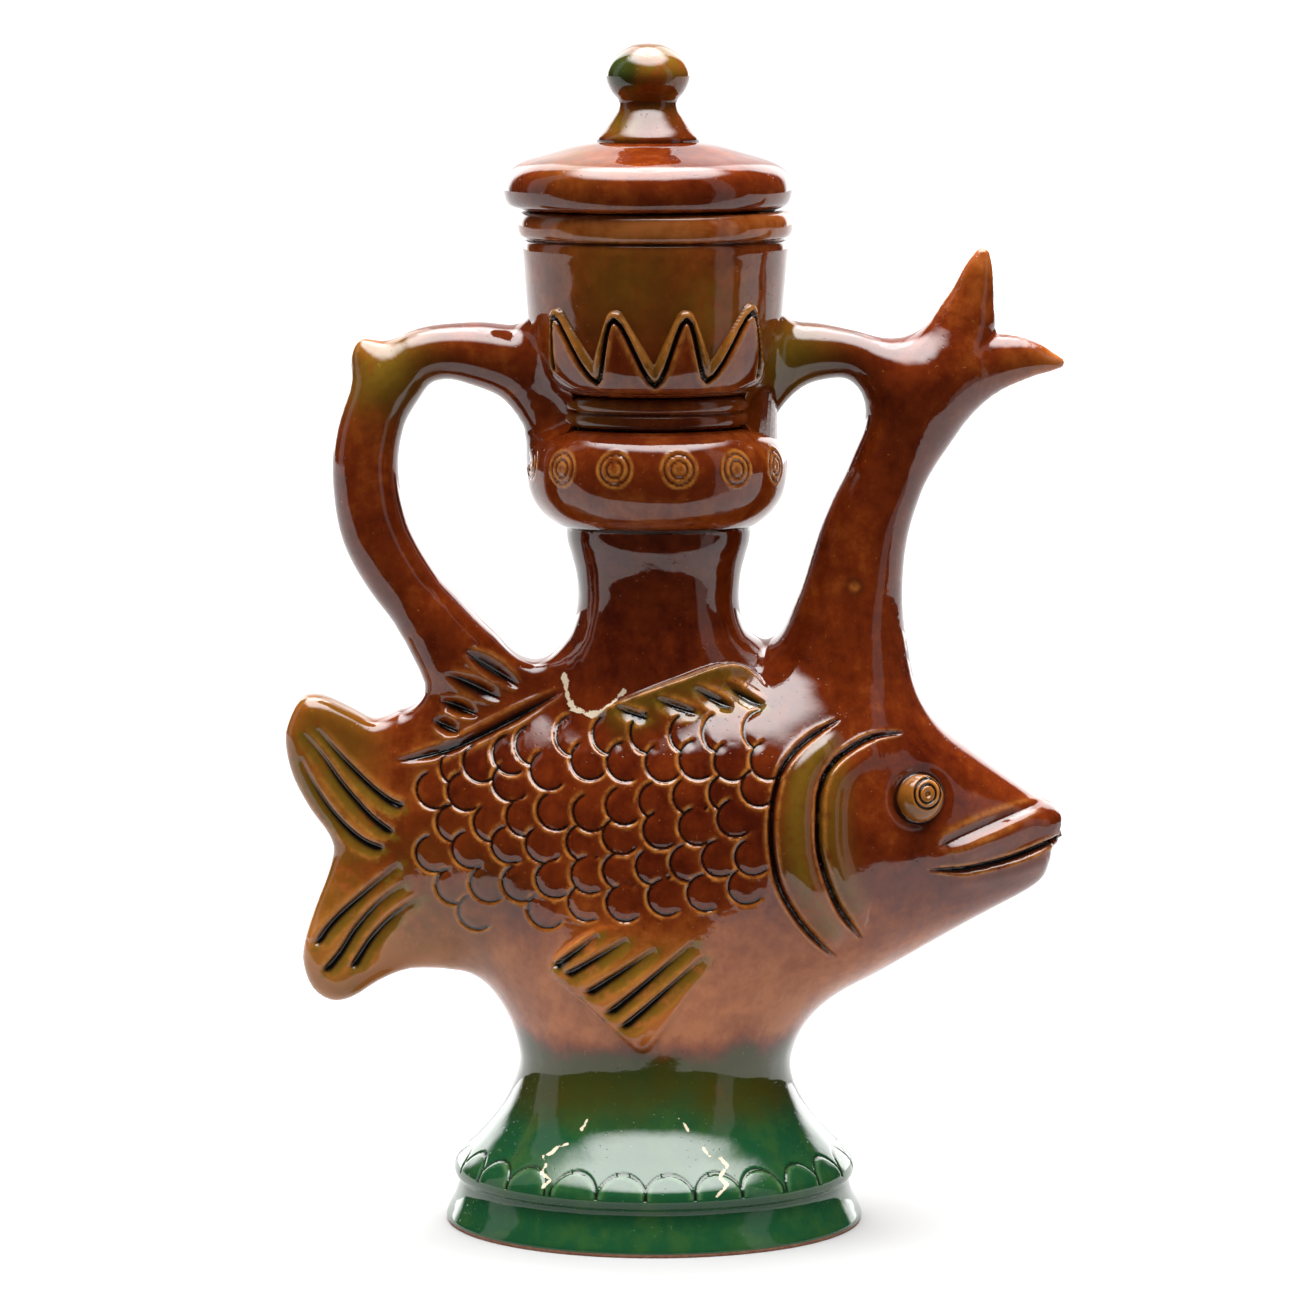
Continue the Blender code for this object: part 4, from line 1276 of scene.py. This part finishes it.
def makeEye(name, side):
    bpy.ops.mesh.primitive_uv_sphere_add(segments=128, ring_count=96, radius=1.0)
    obj = named(bpy.context.object, name)
    x, y, z = eye["at"]
    lean = math.radians(eye["turn"])
    obj.scale = (eye["radius"] * mm, eye["radius"] * mm, eye["thick"] * mm)
    obj.rotation_euler = (math.radians(90.0), 0.0, -side * lean)
    obj.location = (x * mm, side * y * mm, z * mm)
    applyPlace(obj)
    co = pointsOf(obj.data) / mm
    out = np.abs(co[:, 1]) > y - 0.5
    away = np.hypot((co[:, 0] - eye["stamp"][0]) / math.cos(lean), co[:, 2] - eye["stamp"][1])
    relief = newRelief(co)
    for ring in eye["rings"]:
        hollow = unit(1.0 - np.abs(away - ring) / 0.6) * out
        most(relief, slice(None), cut=0.65 * hollow, pool=ease(0.1, 0.6, hollow))
    most(relief, slice(None), cut=0.5 * ease(eye["pupil"], 0.6, away) * out, thin=bell(away, 3.6, 0.45) * out)
    relief["olive"][:] = 0.45
    return finishThrown(obj, relief, 0.16)


boreNeck(pieces["neck"])
footBase = makeFootBase()
for name, obj in pieces.items():
    if not isApplied(name):
        closeHoles(obj)
pieces["rosette_bulb"] = makeBulb()
thrown = {   # profile, shape, height and tone, olive runs, green runs
    "collar_ring": (rows(collar["outer"], 6) + [(collar["bore"], 244.6), (collar["bore"], 254.3)], collar,
                    [(249.6, 0.42), (250, 0.34)], [(-20, 250, 12, 0.3)]),
    "crown_cup": (rows(cup["rim"], 6) + rows(cup["outer"], 8) + rows(cup["inner"], 3), cup,
                  [(260, 0.5), (282, 0.44), (298, 0.34), (301.2, 0.3), (303, 0.1)],
                  [(-8, 290, 18, 0.5), (16, 281, 13, 0.6), (28, 270, 14, 0.5)]),
    "lid_cover": ([(0, 330.2)] + rows(lid["outer"], 8) + rows(lid["under"], 2), lid,
                  [(313, 0.46), (320, 0.52), (328, 0.46)], [(-24, 327, 9, 0.4)]),
    "lid_knob": (rows(knob["outer"], 8) + [(0, 330.3)], knob, [(332, 0.5), (345, 0.4)],
                 [(2, 352, 12, 1), (-9, 336, 6, 0.8)], [(-9, 351, 8, 0.55)]),
}
for name, made in thrown.items():
    pieces[name] = makeThrown(name, *made)
for back, tag in ((False, "front"), (True, "back")):
    pieces["crown_band_" + tag] = makeCrownBand("crown_band_" + tag, back)
for side, tag in ((-1, "right"), (1, "left")):
    pieces["eye_" + tag] = makeEye("eye_" + tag, side)
for name, obj in pieces.items():
    if "skinNormal" in obj.data.attributes:
        keepNormals(obj)
pieces["foot"] = joined([pieces["foot"], footBase], "foot_look")
print("pieces", len(pieces))


# Glaze

def plug(tree, socket, value):
    if isinstance(value, bpy.types.NodeSocket):
        tree.links.new(value, socket)
    else:
        socket.default_value = value


def put(tree, kind, settings=None, **inputs):
    # inputs go by their names, or by i and their number
    node = tree.nodes.new(kind)
    for key, value in (settings or {}).items():
        setattr(node, key, value)
    for key, value in inputs.items():
        numbered = key[0] == "i" and key[1:].isdigit()
        plug(tree, node.inputs[int(key[1:]) if numbered else key.replace("_", " ")], value)
    return node


def maths(tree, operation, a, b=0.0):
    return put(tree, "ShaderNodeMath", {"operation": operation}, i0=a, i1=b).outputs[0]


def plus(tree, first, *others):
    for other in others:
        first = maths(tree, "ADD", first, other)
    return first


def times(tree, a, b):
    return maths(tree, "MULTIPLY", a, b)


def swing(tree, value, share):
    return times(tree, plus(tree, value, -0.5), share)


def spread(tree, value, low, high, first=0.0, last=1.0, kind="LINEAR"):
    return put(tree, "ShaderNodeMapRange", {"interpolation_type": kind}, Value=value,
               From_Min=low, From_Max=high, To_Min=first, To_Max=last).outputs[0]


def softStep(tree, value, low, high, top=1.0):
    return spread(tree, value, low, high, 0.0, top, "SMOOTHSTEP")


def noise(tree, place, scale, detail, rough=0.5):
    return put(tree, "ShaderNodeTexNoise", None, Vector=place, Scale=scale, Detail=detail,
               Roughness=rough).outputs[0]


def layerOf(tree, name):
    return put(tree, "ShaderNodeAttribute", {"attribute_name": name})


def blend(tree, share, a, b):
    return put(tree, "ShaderNodeMix", {"data_type": "RGBA"}, i0=share, i6=a, i7=b).outputs[2]


def ramp(tree, value, stops):
    node = put(tree, "ShaderNodeValToRGB", None, Fac=value)
    while len(node.color_ramp.elements) < len(stops):
        node.color_ramp.elements.new(0.5)
    for element, (place, colour) in zip(node.color_ramp.elements, stops):
        element.position = place
        element.color = colour
    return node.outputs[0]


def newMaterial(name):
    material = bpy.data.materials.new(name)
    material.use_nodes = True
    return material, material.node_tree, material.node_tree.nodes["Principled BSDF"]


glaze = {key: (*rgb, 1.0) for key, rgb in {
    "sand": (0.42, 0.125, 0.030), "amber": (0.27, 0.060, 0.0085), "brown": (0.135, 0.0195, 0.0028),
    "dark": (0.062, 0.0066, 0.0013), "deep": (0.020, 0.0026, 0.0009), "gold": (0.45, 0.165, 0.030),
    "pool": (0.004, 0.0022, 0.0015), "olive": (0.21, 0.105, 0.010), "leaf": (0.080, 0.066, 0.005),
    "green": (0.008, 0.055, 0.019), "moss": (0.019, 0.068, 0.018), "waist": (0.042, 0.041, 0.005),
    "mint": (0.10, 0.20, 0.09), "bare": (0.60, 0.49, 0.35),
}.items()}
browns = {"sand": 0.0, "amber": 0.2, "brown": 0.45, "dark": 0.7, "deep": 0.95}   # by the glaze's depth
grain = {   # scale, detail and roughness of each noise
    "clouds": (38.0, 4.0, 0.6), "flecks": (260.0, 3.0, 0.7), "specks": (950.0, 2.0),
    "strokes": (210.0, 3.0, 0.6), "blotches": (110.0, 3.0, 0.65), "waves": (60.0, 1.0), "peel": (330.0, 2.0),
}
uneven = {"blotches": 0.45, "clouds": 0.7, "flecks": 0.34, "strokes": 0.16}   # how much each shifts the depth


def makeGlaze(name):
    material, tree, shader = newMaterial(name)
    place = put(tree, "ShaderNodeTexCoord").outputs["Object"]
    upright = put(tree, "ShaderNodeMapping", None, Vector=place, Scale=(1.0, 1.0, 0.12)).outputs[0]
    fine = {key: noise(tree, upright if key == "strokes" else place, *size) for key, size in grain.items()}
    layer = layerOf(tree, "glazeMap")
    pooled, thin, olive = put(tree, "ShaderNodeSeparateColor", None, Color=layer.outputs["Color"]).outputs
    depth = plus(tree, layerOf(tree, "glazeTone").outputs["Fac"],
                 *[swing(tree, fine[key], share) for key, share in uneven.items()])
    colour = ramp(tree, depth, [(stop, glaze[key]) for key, stop in browns.items()])
    # olive breaks up in flecks, green covers what it runs over
    broken = softStep(tree, plus(tree, fine["clouds"], times(tree, fine["flecks"], 0.8)), 0.55, 0.92)
    oliveTone = blend(tree, fine["flecks"], glaze["leaf"], glaze["olive"])
    colour = blend(tree, times(tree, olive, broken), colour, oliveTone)
    run = softStep(tree, plus(tree, layer.outputs["Alpha"], swing(tree, fine["clouds"], 0.6)), 0.12, 0.9)
    fullGreen = blend(tree, softStep(tree, fine["blotches"], 0.42, 0.68), glaze["green"], glaze["moss"])
    greenTone = blend(tree, softStep(tree, run, 0.25, 0.95), glaze["waist"], fullGreen)
    colour = blend(tree, softStep(tree, run, 0.0, 0.3), colour, greenTone)
    # gold where the glaze is thin and as painted highlight, near black where it pooled and as painted shade
    gold = times(tree, thin, spread(tree, fine["flecks"], 0.3, 0.6))
    rimTone = blend(tree, run, glaze["gold"], glaze["mint"])
    colour = blend(tree, times(tree, gold, 0.85), colour, rimTone)
    colour = blend(tree, pooled, colour, glaze["pool"])
    dust = softStep(tree, fine["specks"], 0.70, 0.78)
    colour = blend(tree, times(tree, dust, 0.4), colour, rimTone)
    # bare clay where the glaze drew back, its cream partly a painted highlight
    worn = layerOf(tree, "glazeWorn").outputs["Fac"]
    ragged = softStep(tree, plus(tree, worn, swing(tree, fine["flecks"], 2.2)), 0.72, 0.9)
    bare = times(tree, ragged, spread(tree, worn, 0.02, 0.2))
    plug(tree, shader.inputs["Base Color"], blend(tree, bare, colour, glaze["bare"]))
    rough = spread(tree, fine["specks"], 0.3, 0.7, 0.035, 0.10)
    plug(tree, shader.inputs["Roughness"], plus(tree, rough, times(tree, bare, 0.4)))
    plug(tree, shader.inputs["IOR"], 1.52)
    # slow waves, orange peel and pin holes, heights in millimetres
    holes = put(tree, "ShaderNodeTexVoronoi", None, Vector=place, Scale=420.0).outputs["Distance"]
    height = plus(tree, times(tree, fine["waves"], 0.55), times(tree, fine["peel"], 0.03),
                  times(tree, softStep(tree, holes, 0.16, 0.05), -0.03))
    bump = put(tree, "ShaderNodeBump", None, Height=height, Distance=mm, Strength=1.0)
    plug(tree, shader.inputs["Normal"], bump.outputs[0])
    return material


def makeBareClay():
    material, tree, shader = newMaterial("bareClay")
    grit = noise(tree, put(tree, "ShaderNodeTexCoord").outputs["Object"], 700.0, 4.0)
    colour = ramp(tree, grit, [(0.3, (0.22, 0.085, 0.045, 1.0)), (0.7, (0.38, 0.17, 0.095, 1.0))])
    plug(tree, shader.inputs["Base Color"], colour)
    plug(tree, shader.inputs["Roughness"], spread(tree, grit, 0.0, 1.0, 0.7, 0.95))
    bump = put(tree, "ShaderNodeBump", None, Height=grit, Distance=0.1 * mm)
    plug(tree, shader.inputs["Normal"], bump.outputs[0])
    return material


carafeGlaze = makeGlaze("carafeGlaze")
bareClay = makeBareClay()
slots = {
    "green_glaze": ["foot"], "dark_brown_glaze": ["rosette_bulb", "lid_cover"],
    "brown_glaze": ["fish_body", "neck", "collar_ring", "crown_cup", "spout", "bridge"],
    "olive_glaze": ["tail_fin", "front_dorsal_fin_right", "front_dorsal_fin_left", "pelvic_fin_right",
                    "pelvic_fin_left", "lid_knob"],
    "amber_glaze": ["rear_dorsal_fin", "gill_cover_right", "gill_cover_left", "eye_right", "eye_left",
                    "crown_band_front", "crown_band_back", "handle"],
}
for slot, names in slots.items():
    for name in names:
        obj = pieces[name]
        obj.data.materials.clear()
        obj.data.materials.append(carafeGlaze)
        if name == "foot":
            obj.data.materials.append(bareClay)
            low = faceMean(obj.data, pointsOf(obj.data)[:, 2]) < mm   # unglazed underneath
            obj.data.polygons.foreach_set("material_index", low.astype(np.int32))
        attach(obj, "lid" if name.startswith("lid") else "vessel")
        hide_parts(name)
print("glazed and placed")


# Camera, floor and studio light

view = {"at": (-2.3, -1930.0, 390.9), "down": 6.322, "lens": 177.57}
cameraData = bpy.data.cameras.new("camera")
cameraData.lens = view["lens"]
cameraData.sensor_width = 36.0
camera = bpy.data.objects.new("camera", cameraData)
camera.location = [v * mm for v in view["at"]]
camera.rotation_euler = (math.radians(90.0 - view["down"]), 0.0, 0.0)
bpy.context.scene.collection.objects.link(camera)
bpy.context.scene.camera = camera
bpy.context.scene.view_settings.view_transform = "Standard"

sheet = {"size": 8.0, "front": -0.28, "grey": 0.36, "rough": 0.6, "shine": 0.1}   # pale floor, in metres
sheetMiddle = 0.5 * sheet["size"] + sheet["front"]
bpy.ops.mesh.primitive_plane_add(size=sheet["size"], location=(0.0, sheetMiddle, 0.0))
floor = applyPlace(bpy.context.object)
floor.name = "floor"
paper, paperTree, paperShader = newMaterial("paleFloor")
plug(paperTree, paperShader.inputs["Base Color"], (sheet["grey"], sheet["grey"], sheet["grey"], 1.0))
plug(paperTree, paperShader.inputs["Roughness"], sheet["rough"])
plug(paperTree, paperShader.inputs["Specular IOR Level"], sheet["shine"])
floor.data.materials.append(paper)

studio = {   # edges are turns from the front, in radians, or the height of the way up
    "dark": 0.03, "paper": 4.0, "paperEdge": (2.42, 2.57), "middle": 1.3, "middleEdge": (2.85, 2.95),
    "strips": [(1.12, 0.14, 0.55), (-1.78, 0.17, 0.55)], "stripEdge": 0.04,   # turn, half width, power
    "overhead": 11.5, "overEdge": (0.75, 0.92), "overShift": 0.1, "overSides": (0.80, 0.60), "seen": 1.1,
}


def makeWorld():
    world = bpy.data.worlds.new("studio")
    bpy.context.scene.world = world
    world.use_nodes = True
    tree = world.node_tree
    back = tree.nodes["Background"]
    plug(tree, back.inputs["Color"], (1.0, 1.0, 1.0, 1.0))
    place = put(tree, "ShaderNodeTexCoord").outputs["Generated"]
    x, y, z = put(tree, "ShaderNodeSeparateXYZ", None, i0=place).outputs
    turn = maths(tree, "ARCTAN2", x, times(tree, y, -1.0))
    away = maths(tree, "ABSOLUTE", turn)
    light = plus(tree, softStep(tree, away, *studio["paperEdge"], studio["paper"]), studio["dark"],
                 softStep(tree, away, *studio["middleEdge"], studio["middle"] - studio["paper"]))
    for centre, half, power in studio["strips"]:
        off = maths(tree, "ABSOLUTE", plus(tree, turn, -centre))
        light = plus(tree, light, softStep(tree, off, half + studio["stripEdge"], half, power))
    aside = maths(tree, "ABSOLUTE", plus(tree, x, studio["overShift"]))
    over = times(tree, softStep(tree, z, *studio["overEdge"], studio["overhead"]),
                 softStep(tree, aside, *studio["overSides"]))
    seen = put(tree, "ShaderNodeLightPath").outputs["Is Camera Ray"]
    mixed = put(tree, "ShaderNodeMix", None, i0=seen, i2=plus(tree, light, over), i3=studio["seen"])
    plug(tree, back.inputs["Strength"], mixed.outputs[0])


makeWorld()
print("studio set")
